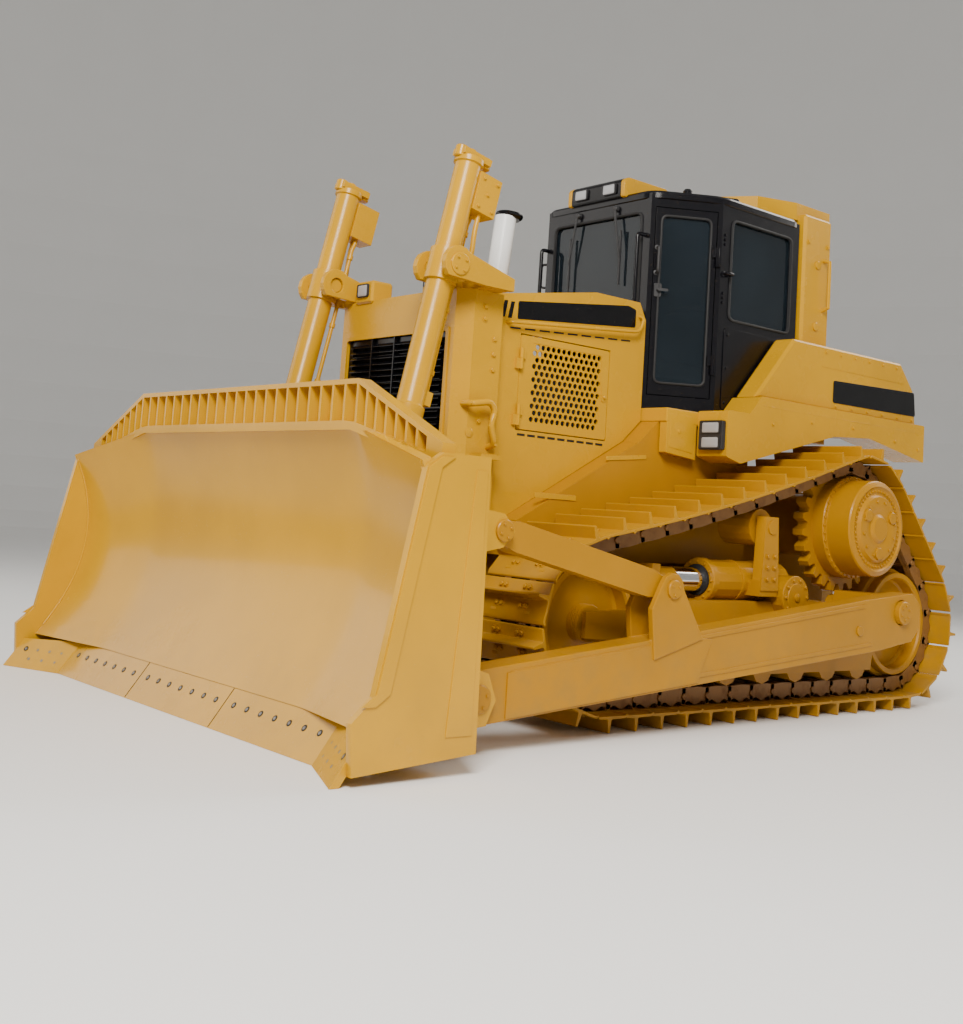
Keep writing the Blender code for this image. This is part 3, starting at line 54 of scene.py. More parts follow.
# %% Loops joined into skins and sheets
def skin(loops, caps=True, ring=False):
    """Quads between neighbouring loops of an array (loops, points, 3); caps close both ends.
    With ring the last loop is joined to the first instead."""
    loops = np.asarray(loops, float)
    count, size = loops.shape[:2]
    rows = np.arange(count if ring else count - 1)[:, None]
    cols = np.arange(size)[None, :]
    following = (cols + 1) % size
    after = (rows + 1) % count
    quads = np.stack([rows * size + cols, rows * size + following,
                      after * size + following, after * size + cols], -1).reshape(-1, 4).tolist()
    if caps and not ring:
        quads.append(list(range(size))[::-1])
        quads.append(list(range((count - 1) * size, count * size)))
    return loops.reshape(-1, 3), quads


def sheet_of(grid):
    """An open surface: quads over an array (rows, columns, 3) of points."""
    grid = np.asarray(grid, float)
    rows, cols = grid.shape[:2]
    i, j = np.meshgrid(np.arange(rows - 1), np.arange(cols - 1), indexing="ij")
    first = (i * cols + j).ravel()
    quads = np.stack([first, first + 1, first + cols + 1, first + cols], -1)
    return grid.reshape(-1, 3), quads.tolist()


def joined(*shapes):
    """Several skins as one: their points in a row, their faces renumbered."""
    points, faces, start = [], [], 0
    for more, quads in shapes:
        points.append(more)
        faces += [[index + start for index in face] for face in quads]
        start += len(more)
    return np.concatenate(points), faces


print("loops, sheets and joins ready")

# %% Flat outlines, slabs and boxes
AXES = {"X": (1, 2, 0), "Y": (0, 2, 1), "Z": (0, 1, 2)}


def lift(plan, height, axis):
    """Flat points (n, 2) at a height along an axis: Y and Z for X, X and Z for Y, X and Y for Z."""
    plan = np.asarray(plan, float)
    points = np.zeros((len(plan), 3))
    points[:, AXES[axis][0]] = plan[:, 0]
    points[:, AXES[axis][1]] = plan[:, 1]
    points[:, AXES[axis][2]] = height
    return points


def slab(plan, low, high, axis="X"):
    """A flat outline carried straight from low to high."""
    return skin([lift(plan, low, axis), lift(plan, high, axis)])


def block(low, high):
    """A box as the slab of its rectangle."""
    (a, b, c), (d, e, f) = low, high
    return slab([(a, b), (d, b), (d, e), (a, e)], c, f, "Z")


def softened(plan, radius, steps=4):
    """A polygon with each corner swapped for an arc: the two tangent points lie radius / tan(half
    the corner's angle) from it, and the arc is a quadratic curve through them and the corner."""
    plan = np.asarray(plan, float)
    back = np.roll(plan, 1, 0) - plan
    ahead = np.roll(plan, -1, 0) - plan
    reach = np.minimum(radius, 0.45 * np.minimum(np.linalg.norm(back, axis=1),
                                                 np.linalg.norm(ahead, axis=1)))[:, None]
    start = plan + back / np.linalg.norm(back, axis=1)[:, None] * reach
    end = plan + ahead / np.linalg.norm(ahead, axis=1)[:, None] * reach
    t = np.linspace(0, 1, steps)[None, :, None]
    arcs = start[:, None] * (1 - t) ** 2 + plan[:, None] * 2 * t * (1 - t) + end[:, None] * t ** 2
    return arcs.reshape(-1, 2)


def rectangle(low, high, radius=0.0, steps=4):
    """The corners of a flat rectangle, swapped for arcs if a radius is given."""
    plan = np.array([low, (high[0], low[1]), high, (low[0], high[1])], float)
    return softened(plan, radius, steps) if radius else plan


def hoop(axis, *loops):
    """A closed hoop through (outline, height) loops along an axis; the last meets the first."""
    return skin([lift(plan, height, axis) for plan, height in loops], ring=True)


print("outlines ready")

# %% Turned parts and bars
def frame_about(axis):
    """An axis made unit long, and two unit vectors square to it."""
    axis = np.asarray(axis, float) / np.linalg.norm(axis)
    helper = np.array([0.0, 0.0, 1.0]) if abs(axis[2]) < 0.9 else np.array([0.0, 1.0, 0.0])
    u = np.cross(helper, axis)
    u /= np.linalg.norm(u)
    return axis, u, np.cross(axis, u)


def lathe(profile, origin, axis, sides=40):
    """A turned part: each (distance, radius) of the profile makes a circle
    origin + axis * distance + radius * (u cos a + v sin a)."""
    axis, u, v = frame_about(axis)
    profile = np.asarray(profile, float)
    angle = np.linspace(0, 2 * np.pi, sides, endpoint=False)
    circle = np.cos(angle)[:, None] * u + np.sin(angle)[:, None] * v
    loops = (np.asarray(origin, float) + profile[:, None, :1] * axis
             + profile[:, None, 1:] * circle[None])
    return skin(loops)


def rod(start, end, radius, sides=24, edge=0.0):
    """A round bar from point to point, with a small rounded edge at both ends."""
    start, end = np.asarray(start, float), np.asarray(end, float)
    length = np.linalg.norm(end - start)
    profile = [(0, radius - edge), (edge, radius), (length - edge, radius), (length, radius - edge)]
    return lathe(profile if edge else profile[1:3], start, end - start, sides)


print("turned parts ready")

# %% Tubes along a path
def bend(points, radius, steps=6):
    """An open line in space with its inner corners rounded by quadratic arcs."""
    points = np.asarray(points, float)
    corner, before, after = points[1:-1], points[:-2], points[2:]
    back, ahead = before - corner, after - corner
    length = np.minimum(np.linalg.norm(back, axis=1), np.linalg.norm(ahead, axis=1))
    reach = np.minimum(radius, 0.48 * length)[:, None]
    start = corner + back / np.linalg.norm(back, axis=1)[:, None] * reach
    end = corner + ahead / np.linalg.norm(ahead, axis=1)[:, None] * reach
    t = np.linspace(0, 1, steps)[None, :, None]
    arcs = start[:, None] * (1 - t) ** 2 + corner[:, None] * 2 * t * (1 - t) + end[:, None] * t ** 2
    return np.concatenate([points[:1], arcs.reshape(-1, 3), points[-1:]])


def swept(profile, path, up=(0.0, 0.0, 1.0)):
    """A flat profile (n, 2) carried along a path: its first axis is level, its second
    leans to up."""
    path, profile = np.asarray(path, float), np.asarray(profile, float)
    tangent = np.gradient(path, axis=0)
    tangent /= np.linalg.norm(tangent, axis=1)[:, None]
    side = np.cross(tangent, np.asarray(up, float))
    side /= np.linalg.norm(side, axis=1)[:, None]
    rise = np.cross(side, tangent)
    loops = (path[:, None] + profile[None, :, :1] * side[:, None]
             + profile[None, :, 1:] * rise[:, None])
    return skin(loops)


def round_of(radius, sides=12):
    """The points of a circle, as a profile for a tube."""
    angle = np.linspace(0, 2 * np.pi, sides, endpoint=False)
    return np.stack([np.cos(angle), np.sin(angle)], -1) * radius


def rail(points, radius, bend_radius=0.06, sides=12, up=(0.0, 0.0, 1.0)):
    """A bent tube along a few points."""
    return swept(round_of(radius, sides), bend(points, bend_radius), up)


print("tubes ready")

# %% Copies, mirror images and bolts
def copies(shape, places, turns=None):
    """One shape set at many places, each first turned by its own 3 x 3 matrix if turns are
    given."""
    points, faces = shape
    places = np.asarray(places, float)
    if turns is None:
        moved = points[None] + places[:, None]
    else:
        moved = np.einsum("nij,pj->npi", np.asarray(turns, float), points) + places[:, None]
    size = len(points)
    every = [[index + size * n for index in face] for n in range(len(places)) for face in faces]
    return moved.reshape(-1, 3), every


def mirrored(shape):
    """The same shape on the machine's other side."""
    return shape[0] * np.array([-1.0, 1.0, 1.0]), [face[::-1] for face in shape[1]]


def bolts(places, axis, radius=0.016, height=0.012):
    """Hexagon heads on washers: each a short turned stack with six corners."""
    head = lathe([(0, radius), (height * 0.8, radius), (height, radius * 0.82)], (0, 0, 0), axis, 6)
    ring = lathe([(0, radius * 1.45), (height * 0.22, radius * 1.45)], (0, 0, 0), axis, 14)
    return copies(joined(ring, head), places)


def button(centre, axis, radius, height, top, rim, sides):
    """A turned cap: radius up to a height, then a chamfer that ends at the top with radius rim."""
    return lathe([(0, radius), (height, radius), (top, rim), (top, 0.0)], centre, axis, sides)


def ring_places(centre, axis, radius, count, phase=0.0):
    """Points evenly round a circle about an axis."""
    _, u, v = frame_about(axis)
    angle = np.linspace(0, 2 * np.pi, count, endpoint=False)[:, None] + phase
    return np.asarray(centre, float) + radius * (np.cos(angle) * u + np.sin(angle) * v)


print("shape makers ready")

# %% [markdown]
# ## From arrays to objects
# Blender wants a mesh and an object. The seams are merged, the faces are turned outwards,
# sharp edges are kept sharp by their angle, and a narrow bevel catches the light as the
# rolled and ground edges of real plate do.

# %% Pieces from skins
HANDS = ((1, "left"), (-1, "right"))      # the machine's left is +X
ROW_Y = 0.609      # pieces are drawn in the machine's frame, whose y = 0 lies here in the world


def piece(name, shapes, finish, body="tractor", bevel=0.0, replaces=(), angle=32.0,
          outward=True):
    """One object from skins: merged, turned outwards, bevelled, painted and hung on its body."""
    points, faces = joined(*shapes)
    points = points + np.array([0.0, ROW_Y, 0.0])
    mesh = bpy.data.meshes.new(name)
    mesh.from_pydata(points, [], faces)
    work = bmesh.new()
    work.from_mesh(mesh)
    bmesh.ops.remove_doubles(work, verts=work.verts, dist=1e-5)
    bmesh.ops.dissolve_degenerate(work, edges=work.edges, dist=1e-6)
    if outward:
        bmesh.ops.recalc_face_normals(work, faces=work.faces)
    work.to_mesh(mesh)
    work.free()
    mesh.shade_smooth()
    mesh.set_sharp_from_angle(angle=math.radians(angle))
    mesh.materials.append(finish)
    obj = bpy.data.objects.new(name, mesh)
    bpy.context.scene.collection.objects.link(obj)
    if bevel:
        edge = obj.modifiers.new("rolled edge", "BEVEL")
        edge.width = bevel
        edge.segments = 2
        edge.limit_method = "ANGLE"
        edge.angle_limit = math.radians(angle)
        edge.use_clamp_overlap = True
        edge.harden_normals = True
    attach(obj, body)
    if replaces:
        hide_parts(*replaces)
    return obj


print("a piece can be made and hung on its body")

# %% Carried-over solids and hands
def keep(node, finish, bevel=0.006):
    """A solid that stays: welded and bevelled by live modifiers, with a new finish."""
    obj = NODES[node]
    obj.data.materials.clear()
    obj.data.materials.append(finish)
    weld = obj.modifiers.new("weld", "WELD")
    weld.merge_threshold = 0.00005
    flat = obj.modifiers.new("flat faces", "DECIMATE")
    flat.decimate_type = "DISSOLVE"
    flat.angle_limit = math.radians(1.0)
    if bevel:
        edge = obj.modifiers.new("rolled edge", "BEVEL")
        edge.width = bevel
        edge.segments = 2
        edge.limit_method = "ANGLE"
        edge.angle_limit = math.radians(38.0)


def handed(shapes, hand):
    """The shapes as drawn for the left hand, or their mirror images for the right."""
    return [mirrored(shape) for shape in shapes] if hand == "right" else list(shapes)


print("piece makers ready")

# %% [markdown]
# ## Writing a finish as sums
# A shader is mostly arithmetic: a mask times a colour, one minus a mask, a threshold. Node
# by node that is hard to read. A small class wraps a socket and overloads the operators, so
# that a line such as `1 - mask * 0.4` lays down the Math nodes itself.

# %% Sockets that can be added and multiplied
class Wire:
    """A socket in an expression: every operator lays down one Math node."""

    def __init__(self, finish, socket):
        self.finish = finish
        self.socket = socket

    def _math(self, operation, first, second):
        return self.finish.node("ShaderNodeMath", {"operation": operation},
                                {0: first, 1: second})

    def __add__(self, other):
        return self._math("ADD", self, other)

    def __sub__(self, other):
        return self._math("SUBTRACT", self, other)

    def __rsub__(self, other):
        return self._math("SUBTRACT", other, self)

    def __mul__(self, other):
        return self._math("MULTIPLY", self, other)

    def clamped(self):
        return self.finish.node("ShaderNodeClamp", {}, {0: self})

    __radd__ = __add__
    __rmul__ = __mul__


print("wires can be added, subtracted and multiplied")

# %% One bench for each material
class Finish:
    """A material's bench: its nodes, its wires and its one Principled shader."""

    def __init__(self, name, colour, roughness, **constants):
        self.material = bpy.data.materials.new(name)
        self.material.use_nodes = True
        self.tree = self.material.node_tree
        self.shader = self.tree.nodes["Principled BSDF"]
        self.set("Base Color", (*colour, 1.0))
        self.set("Roughness", roughness)
        for key, value in constants.items():
            self.set(key.replace("_", " "), value)
        self.place = self.node("ShaderNodeTexCoord", {}, {}, "Object")

    def set(self, socket, value):
        """A constant, or a wire, for one of the shader's sockets."""
        if isinstance(value, Wire):
            self.tree.links.new(value.socket, self.shader.inputs[socket])
        else:
            self.shader.inputs[socket].default_value = value

    def node(self, kind, settings, values, out=0):
        """Any node: its settings first, then the values or wires of its sockets."""
        node = self.tree.nodes.new(kind)
        for key, value in settings.items():
            setattr(node, key, value)
        for key, value in values.items():
            if isinstance(value, Wire):
                self.tree.links.new(value.socket, node.inputs[key])
            else:
                node.inputs[key].default_value = value
        return Wire(self, node.outputs[out])

    def noise(self, scale, detail=3.0, rough=0.55, stretch=None):
        """Cloudy values about 0.5; stretch scales the three axes."""
        where = self.place
        if stretch:
            where = self.node("ShaderNodeMapping", {}, {"Vector": self.place, "Scale": stretch})
        return self.node("ShaderNodeTexNoise", {},
                         {"Vector": where, "Scale": scale, "Detail": detail, "Roughness": rough})

    def over(self, value, low, high):
        """A mask that rises from 0 at low to 1 at high."""
        return self.node("ShaderNodeMapRange", {"interpolation_type": "SMOOTHSTEP"},
                         {"Value": value, "From Min": low, "From Max": high})

    def mix(self, mask, first, second):
        """A colour between two colours, by a mask."""
        def colour(value):
            return value if isinstance(value, Wire) else (*value, 1.0)
        return self.node("ShaderNodeMix", {"data_type": "RGBA"},
                         {0: mask, 6: colour(first), 7: colour(second)}, 2)

    def height(self):
        """How high a point lies above the ground, in metres."""
        return self.node("ShaderNodeSeparateXYZ", {}, {0: self.place}, 2)

    def bump(self, value, distance, strength=1.0):
        """Fine relief: value times distance, fed to the shader's normal."""
        self.set("Normal", self.node("ShaderNodeBump", {},
                                     {"Height": value, "Distance": distance, "Strength": strength}))


print("the bench for finishes is ready")

# %% [markdown]
# ## Paint, steel, glass and rubber
# The machine is new: thick glossy enamel with a faint orange-peel skin, a little dust that
# gathers low down, and small scuffs where boots and tools touch it. All patterns are noise
# in Object coordinates, so they keep their real size on every piece.

# %% Paint, steel, chrome and glass
def shade(colour, factor):
    """A colour made lighter or darker."""
    return tuple(min(1.0, c * factor) for c in colour)


def enamel(name, colour, roughness=0.27, dust=0.35, coat=0.08, dust_top=1.1,
           shine=0.25):
    """Sprayed paint: slow drifts of tone, dust below a height, scuffs and orange peel."""
    f = Finish(name, colour, roughness, Coat_Weight=coat, Coat_Roughness=0.08,
               Specular_IOR_Level=shine)
    drift = f.over(f.noise(1.3, 4.0), 0.32, 0.68)
    cloud = f.over(f.noise(7.0, 5.0, 0.6), 0.35, 0.72)
    base = f.mix(drift, shade(colour, 0.93), shade(colour, 1.05))
    low = 1 - f.over(f.height(), 0.05, dust_top)
    dusty = (low * cloud * dust).clamped()
    scuff = f.over(f.noise(34.0, 6.0, 0.7, (1.0, 1.0, 2.6)), 0.61, 0.70)
    worn = (scuff * 0.16 + dusty).clamped()
    f.set("Base Color", f.mix(worn, base, (0.26, 0.16, 0.05)))
    f.set("Roughness", (f.noise(3.0, 3.0) * 0.12 + roughness - 0.06 + worn * 0.45).clamped())
    f.bump(f.noise(240.0, 2.0), 0.0006, 0.35)
    return f.material


def bare_steel(name, colour, roughness=0.38, rust=0.3, metallic=1.0):
    """Forged or rolled steel: bright rubbed places, brown ones between, fine pits."""
    f = Finish(name, colour, roughness, Metallic=metallic)
    patch = f.over(f.noise(9.0, 6.0, 0.65), 0.48, 0.70)
    grain = f.noise(90.0, 4.0, 0.6, (1.0, 1.0, 0.35))
    brown = (patch * rust).clamped()
    f.set("Base Color", f.mix(brown, f.mix(grain, shade(colour, 0.8), shade(colour, 1.1)),
                              (0.16, 0.075, 0.03)))
    f.set("Roughness", (grain * 0.2 + roughness - 0.08 + brown * 0.4).clamped())
    f.bump(grain, 0.0012, 0.4)
    return f.material


def chrome_plate(name):
    """Ground and plated rod: a mirror with the faintest lengthwise hairlines."""
    f = Finish(name, (0.80, 0.81, 0.84), 0.08, Metallic=1.0)
    hair = f.noise(180.0, 2.0, 0.5, (1.0, 1.0, 0.06))
    f.set("Roughness", hair * 0.08 + 0.05)
    f.set("Base Color", f.mix(hair, (0.72, 0.73, 0.76), (0.86, 0.87, 0.90)))
    return f.material


def window_glass(name, tint):
    """Tinted safety glass: dark, smooth and partly clear, with a faint film of dust."""
    f = Finish(name, tint, 0.04, Specular_IOR_Level=0.4)
    film = f.over(f.noise(1.4, 2.0), 0.35, 0.8)
    f.set("Base Color", f.mix(film, tint, shade(tint, 1.4)))
    f.set("Roughness", film * 0.03 + 0.02)
    f.set("Alpha", film * 0.06 + 0.78)
    return f.material


print("paint, steel, chrome and glass ready")

# %% Rubber, cloth and lamp covers
def soft_black(name, colour, roughness, grain=160.0, depth=0.0008):
    """Rubber, moulded plastic, trim, and the near-black painted shade of hollows: dark, matt and
    finely grained.
    """
    f = Finish(name, colour, roughness)
    fine = f.noise(grain, 3.0)
    broad = f.over(f.noise(4.0, 4.0), 0.35, 0.7)
    f.set("Base Color", f.mix(broad, shade(colour, 0.8), shade(colour, 1.35)))
    f.set("Roughness", (broad * 0.14 + roughness - 0.06 + fine * 0.08).clamped())
    f.bump(fine, depth, 0.5)
    return f.material


def woven(name, colour):
    """Seat cloth: two crossing rows of threads as sine waves, with a soft sheen."""
    f = Finish(name, colour, 0.85, Sheen_Weight=0.4)
    across = f.node("ShaderNodeTexWave", {"bands_direction": "X"},
                    {"Vector": f.place, "Scale": 95.0, "Distortion": 0.4})
    along = f.node("ShaderNodeTexWave", {"bands_direction": "Z"},
                   {"Vector": f.place, "Scale": 95.0, "Distortion": 0.4})
    weave = f.node("ShaderNodeMath", {"operation": "MULTIPLY"}, {0: across, 1: along})
    f.set("Base Color", f.mix(weave, shade(colour, 0.7), shade(colour, 1.6)))
    f.set("Roughness", weave * 0.1 + 0.78)
    f.bump(weave, 0.0008, 0.6)
    return f.material


def lens(name, colour):
    """A lamp's ribbed cover: clear and pale over a bright bowl."""
    f = Finish(name, colour, 0.12, Coat_Weight=0.6)
    ribs = f.node("ShaderNodeTexWave", {"bands_direction": "X"},
                  {"Vector": f.place, "Scale": 40.0, "Distortion": 0.0})
    f.set("Base Color", f.mix(ribs, shade(colour, 0.75), colour))
    f.set("Roughness", ribs * 0.1 + 0.08)
    f.bump(ribs, 0.002, 0.5)
    return f.material


print("every kind of finish is ready")

# %% The finishes of this machine
YELLOW = (0.56, 0.285, 0.0)
PAINT = enamel("machine enamel", YELLOW)
# The undercarriage enamel is a darker, more orange copy of the yellow: painted shade for the low
# parts, which the light from above leaves in shadow. Its noise dust is real dust.
SHADED_LOW_PAINT = enamel("undercarriage enamel with painted shade", (0.42, 0.19, 0.0), 0.36, dust=0.4, coat=0.05)
BLADE_PAINT = enamel("blade enamel", shade(YELLOW, 1.02), 0.24, dust=0.12, coat=0.22, dust_top=0.8)
BLACK = enamel("cab black enamel", (0.003, 0.003, 0.005), 0.24, dust=0.05, coat=0.1, shine=0.3)
GLOSS_BLACK = enamel("black panel film", (0.003, 0.003, 0.004), 0.22, dust=0.05, coat=0.05)
WHITE = enamel("stack white enamel", (0.80, 0.82, 0.82), 0.30, dust=0.1)
# The track shoe enamel is darker than the yellow, partly as a dirt tint and partly as painted shade
# low under the machine.
SHOE_DIRT_AND_SHADE_PAINT = enamel("track shoe enamel with dirt and painted shade", (0.44, 0.21, 0.0), 0.42, dust=0.5, coat=0.0, dust_top=2.0)
CHAIN = bare_steel("chain steel", (0.26, 0.125, 0.030), 0.48, 0.5, 0.25)
EDGE = bare_steel("cutting edge steel", (0.30, 0.28, 0.26), 0.42, 0.35, 0.85)
IRON = soft_black("engine casting", (0.05, 0.048, 0.045), 0.62, 60.0, 0.002)
CHROME = chrome_plate("plated rod")
GLASS = window_glass("tinted cab glass", (0.008, 0.013, 0.018))
RUBBER = soft_black("window rubber", (0.010, 0.010, 0.011), 0.62)
PLASTIC = soft_black("moulded trim", (0.02, 0.02, 0.022), 0.48)
# This near-black matt finish is painted shade, laid in bolt recesses, edge seams, hood slots and
# grooves, and behind the louvres.
HOLLOW_SHADE = soft_black("shadowed hollow", (0.004, 0.004, 0.004), 0.9)
CLOTH = woven("seat cloth", (0.035, 0.036, 0.042))
LAMP = lens("lamp cover", (0.42, 0.43, 0.45))
print("finishes:", len(bpy.data.materials))

# %% [markdown]
# ## Solids that stay
# Flat plate work such as the hood, the guard and the tank is already right in the solids.
# These nodes keep their meshes; live modifiers weld the loose triangles and round the edges.

# %% Finishes for the carried-over solids
KEPT = {
    "main_frame": (SHADED_LOW_PAINT, 0.008), "cab_deck": (PAINT, 0.008), "engine_block": (IRON, 0.02),
    "radiator_guard": (PAINT, 0.010), "grille": (GLOSS_BLACK, 0.003), "hood": (PAINT, 0.010),
    "cab_shell": (BLACK, 0.010), "windshield": (GLASS, 0.0), "rear_glass": (GLASS, 0.0),
    "rops": (PAINT, 0.014), "fuel_tank": (PAINT, 0.020), "blade": (BLADE_PAINT, 0.005),
    "cutting_edge": (BLADE_PAINT, 0.004), "brace_left": (SHADED_LOW_PAINT, 0.005),
    "tilt_cylinder": (SHADED_LOW_PAINT, 0.005)}
BY_HAND = {"side_glass": (GLASS, 0.0), "lift_bracket": (PAINT, 0.006),
           "track_frame": (SHADED_LOW_PAINT, 0.005), "push_arm": (SHADED_LOW_PAINT, 0.008),
           "cab_door": (BLACK, 0.004), "door_glass": (GLASS, 0.0)}
KEPT.update({f"{node}_{side}": look
             for node, look in BY_HAND.items() for side in ("left", "right")})
for node, (finish, width) in KEPT.items():
    keep(node, finish, width)
print("solids kept:", len(KEPT))

# %% [markdown]
# ## The track
# A real track is forty-odd shoes bolted to two rows of links. The pitch line is worked out
# first: arcs round the sprocket and both idlers, and a sagging run on top. Each shoe is one
# bent plate with a tall grouser, copied to every chord of that line, so it always sits where
# the solid loop has it.

# %% The pitch line and its pins
SHOES, PITCH_R, TRACK_X = 43, 0.4775, 1.125
FRONT_Y, REAR_Y, IDLER_Z = -1.5196, 1.930, 0.6425
DRIVE = np.array([1.280, 1.370])


def arc(centre, radius, start, end, count=80):
    """Points of a circle from one angle to another."""
    angle = np.linspace(start, end, count, endpoint=False)[:, None]
    return np.asarray(centre) + radius * np.concatenate([np.cos(angle), np.sin(angle)], 1)


def pitch_line(front_y):
    """The closed line (y, z) of the pins: round the rear idler, the sprocket and the front idler,
    with a run on top that sags by a parabola 4 * sag * t * (1 - t)."""
    rear, front = np.array([REAR_Y, IDLER_Z]), np.array([front_y, IDLER_Z])
    rise = (DRIVE - rear) / np.linalg.norm(DRIVE - rear)
    run = (front - DRIVE) / np.linalg.norm(front - DRIVE)
    rise_angle, run_angle = math.atan2(-rise[0], rise[1]), math.atan2(-run[0], run[1])
    out = np.array([run[1], -run[0]])
    t = np.linspace(0, 1, 80)[1:, None]
    top_run = DRIVE * (1 - t) + front * t + out * (PITCH_R - 4 * 0.050 * t * (1 - t))
    return np.concatenate([arc(rear, PITCH_R, -math.pi / 2, rise_angle),
                           arc(DRIVE, PITCH_R, rise_angle, run_angle), top_run[:-1],
                           arc(front, PITCH_R, run_angle, 1.5 * math.pi)])


def even_points(line, count):
    """Pins evenly along a closed line, the first half a step from its start."""
    closed = np.concatenate([line, line[:1]])
    run = np.concatenate([[0], np.cumsum(np.linalg.norm(np.diff(closed, axis=0), axis=1))])
    at = (np.arange(count) + 0.5) * run[-1] / count
    return np.stack([np.interp(at, run, closed[:, k]) for k in (0, 1)], 1)


PINS = even_points(pitch_line(FRONT_Y), SHOES)
NEXT = np.roll(PINS, -1, 0)
ALONG = (NEXT - PINS) / np.linalg.norm(NEXT - PINS, axis=1)[:, None]
OUT = np.stack([ALONG[:, 1], -ALONG[:, 0]], 1)
print("pins:", len(PINS), "step", round(float(np.linalg.norm(NEXT - PINS, axis=1).mean()), 4))

# %% [markdown]
# ## Shoes, links and pins
# A shoe is rolled bar, so it is one section carried across. A chain could be made by an array
# along a curve, but the shoes must sit on the solid loop's own chords, so each copy is turned
# by the directions of its chord.

# %% Shoes, links and pins
def chord_places(side, x):
    """Where each shoe sits and how it is turned: its columns are across, along and outwards."""
    middle = (PINS + NEXT) / 2
    places = np.column_stack([np.full(SHOES, side * x), middle])
    turns = np.zeros((SHOES, 3, 3))
    turns[:, 0, 0] = 1.0
    turns[:, 1:, 1] = ALONG
    turns[:, 1:, 2] = OUT
    return places, turns


def shoe_plate(wide=0.305):
    """One shoe across X: a plate with curled lips and a grouser that narrows to its edge."""
    section = np.array([(-0.128, 0.064), (-0.112, 0.061), (0.104, 0.061), (0.121, 0.050),
                        (0.130, 0.055), (0.126, 0.066), (0.104, 0.078), (-0.006, 0.080),
                        (-0.017, 0.086), (-0.024, 0.160), (-0.028, 0.164), (-0.038, 0.164),
                        (-0.042, 0.160), (-0.049, 0.086), (-0.060, 0.080), (-0.112, 0.078),
                        (-0.126, 0.074)])
    return slab(section, -wide, wide)


SHOE_TOP = 0.078
LINK_BANDS = ((0.084, 0.112), (-0.112, -0.084), (0.116, 0.140), (-0.140, -0.116))


def link_plate(low, high):
    """One link across X: a waisted bar, thicker round its two pins, with a rail below."""
    t = np.linspace(-0.138, 0.138, 15)
    upper = 0.030 + 0.028 * np.cos(t / 0.138 * math.pi) ** 2
    lower = -0.052 - 0.008 * np.cos(t / 0.138 * math.pi * 0.5)
    outline = np.concatenate([np.stack([t, lower], 1), np.stack([t, upper], 1)[::-1]])
    return slab(outline, low, high)


print("bands of links:", len(LINK_BANDS))

# %% Both chains laid round
for side, hand in HANDS:
    places, turns = chord_places(side, TRACK_X)
    shoes = copies(shoe_plate(), places, turns)
    slots = copies(joined(*(block((x - 0.022, 0.060, 0.0782), (x + 0.022, 0.078, 0.0806))
                            for x in (-0.150, 0.150))), places, turns)
    heads = joined(*(bolts([(x, y, SHOE_TOP)], (0, 0, 1), 0.015, 0.016)
                     for y in (0.030, -0.085) for x in (-0.125, -0.085, 0.085, 0.125)))
    piece(f"track_shoes_{hand}", [shoes], SHOE_DIRT_AND_SHADE_PAINT, bevel=0.003,
          replaces=(f"track_{hand}",))
    piece(f"track_bolts_{hand}", [copies(heads, places, turns), slots], SHOE_DIRT_AND_SHADE_PAINT)
    links = joined(*(link_plate(*band) for band in LINK_BANDS))
    piece(f"track_links_{hand}", [copies(links, places, turns)], CHAIN)
    pin_places = np.column_stack([np.full(SHOES, side * TRACK_X), PINS])
    pin = joined(rod((-0.150, 0, 0), (0.150, 0, 0), 0.022, 12, 0.003),
                 rod((-0.082, 0, 0), (0.082, 0, 0), 0.034, 14))
    piece(f"track_pins_{hand}", [copies(pin, pin_places)], CHAIN)
print("shoes laid:", 2 * SHOES)

# %% [markdown]
# ## Sprocket, final drive and idlers
# The final drive is a planetary gear in a drum. From outside it shows a dished cover, a
# ring of some fifty bolts, and a boss with three round plugs. Turned profiles give the
# drum and the idlers; rings of bolts are copies round their axis.

# %% Drums and toothed rims
def toothed_rim(side, teeth=25, half=0.045):
    """The sprocket's outline: radius = mean + swing * a clipped cosine of teeth * angle."""
    angle = np.linspace(0, 2 * np.pi, teeth * 12, endpoint=False)
    wave = np.clip(np.cos(angle * teeth) * 1.9 + 0.15, -1, 1)
    radius = 0.468 + 0.031 * wave
    outline = DRIVE + round_of(1.0, teeth * 12) * radius[:, None]
    return slab(outline, side * (TRACK_X - half), side * (TRACK_X + half))


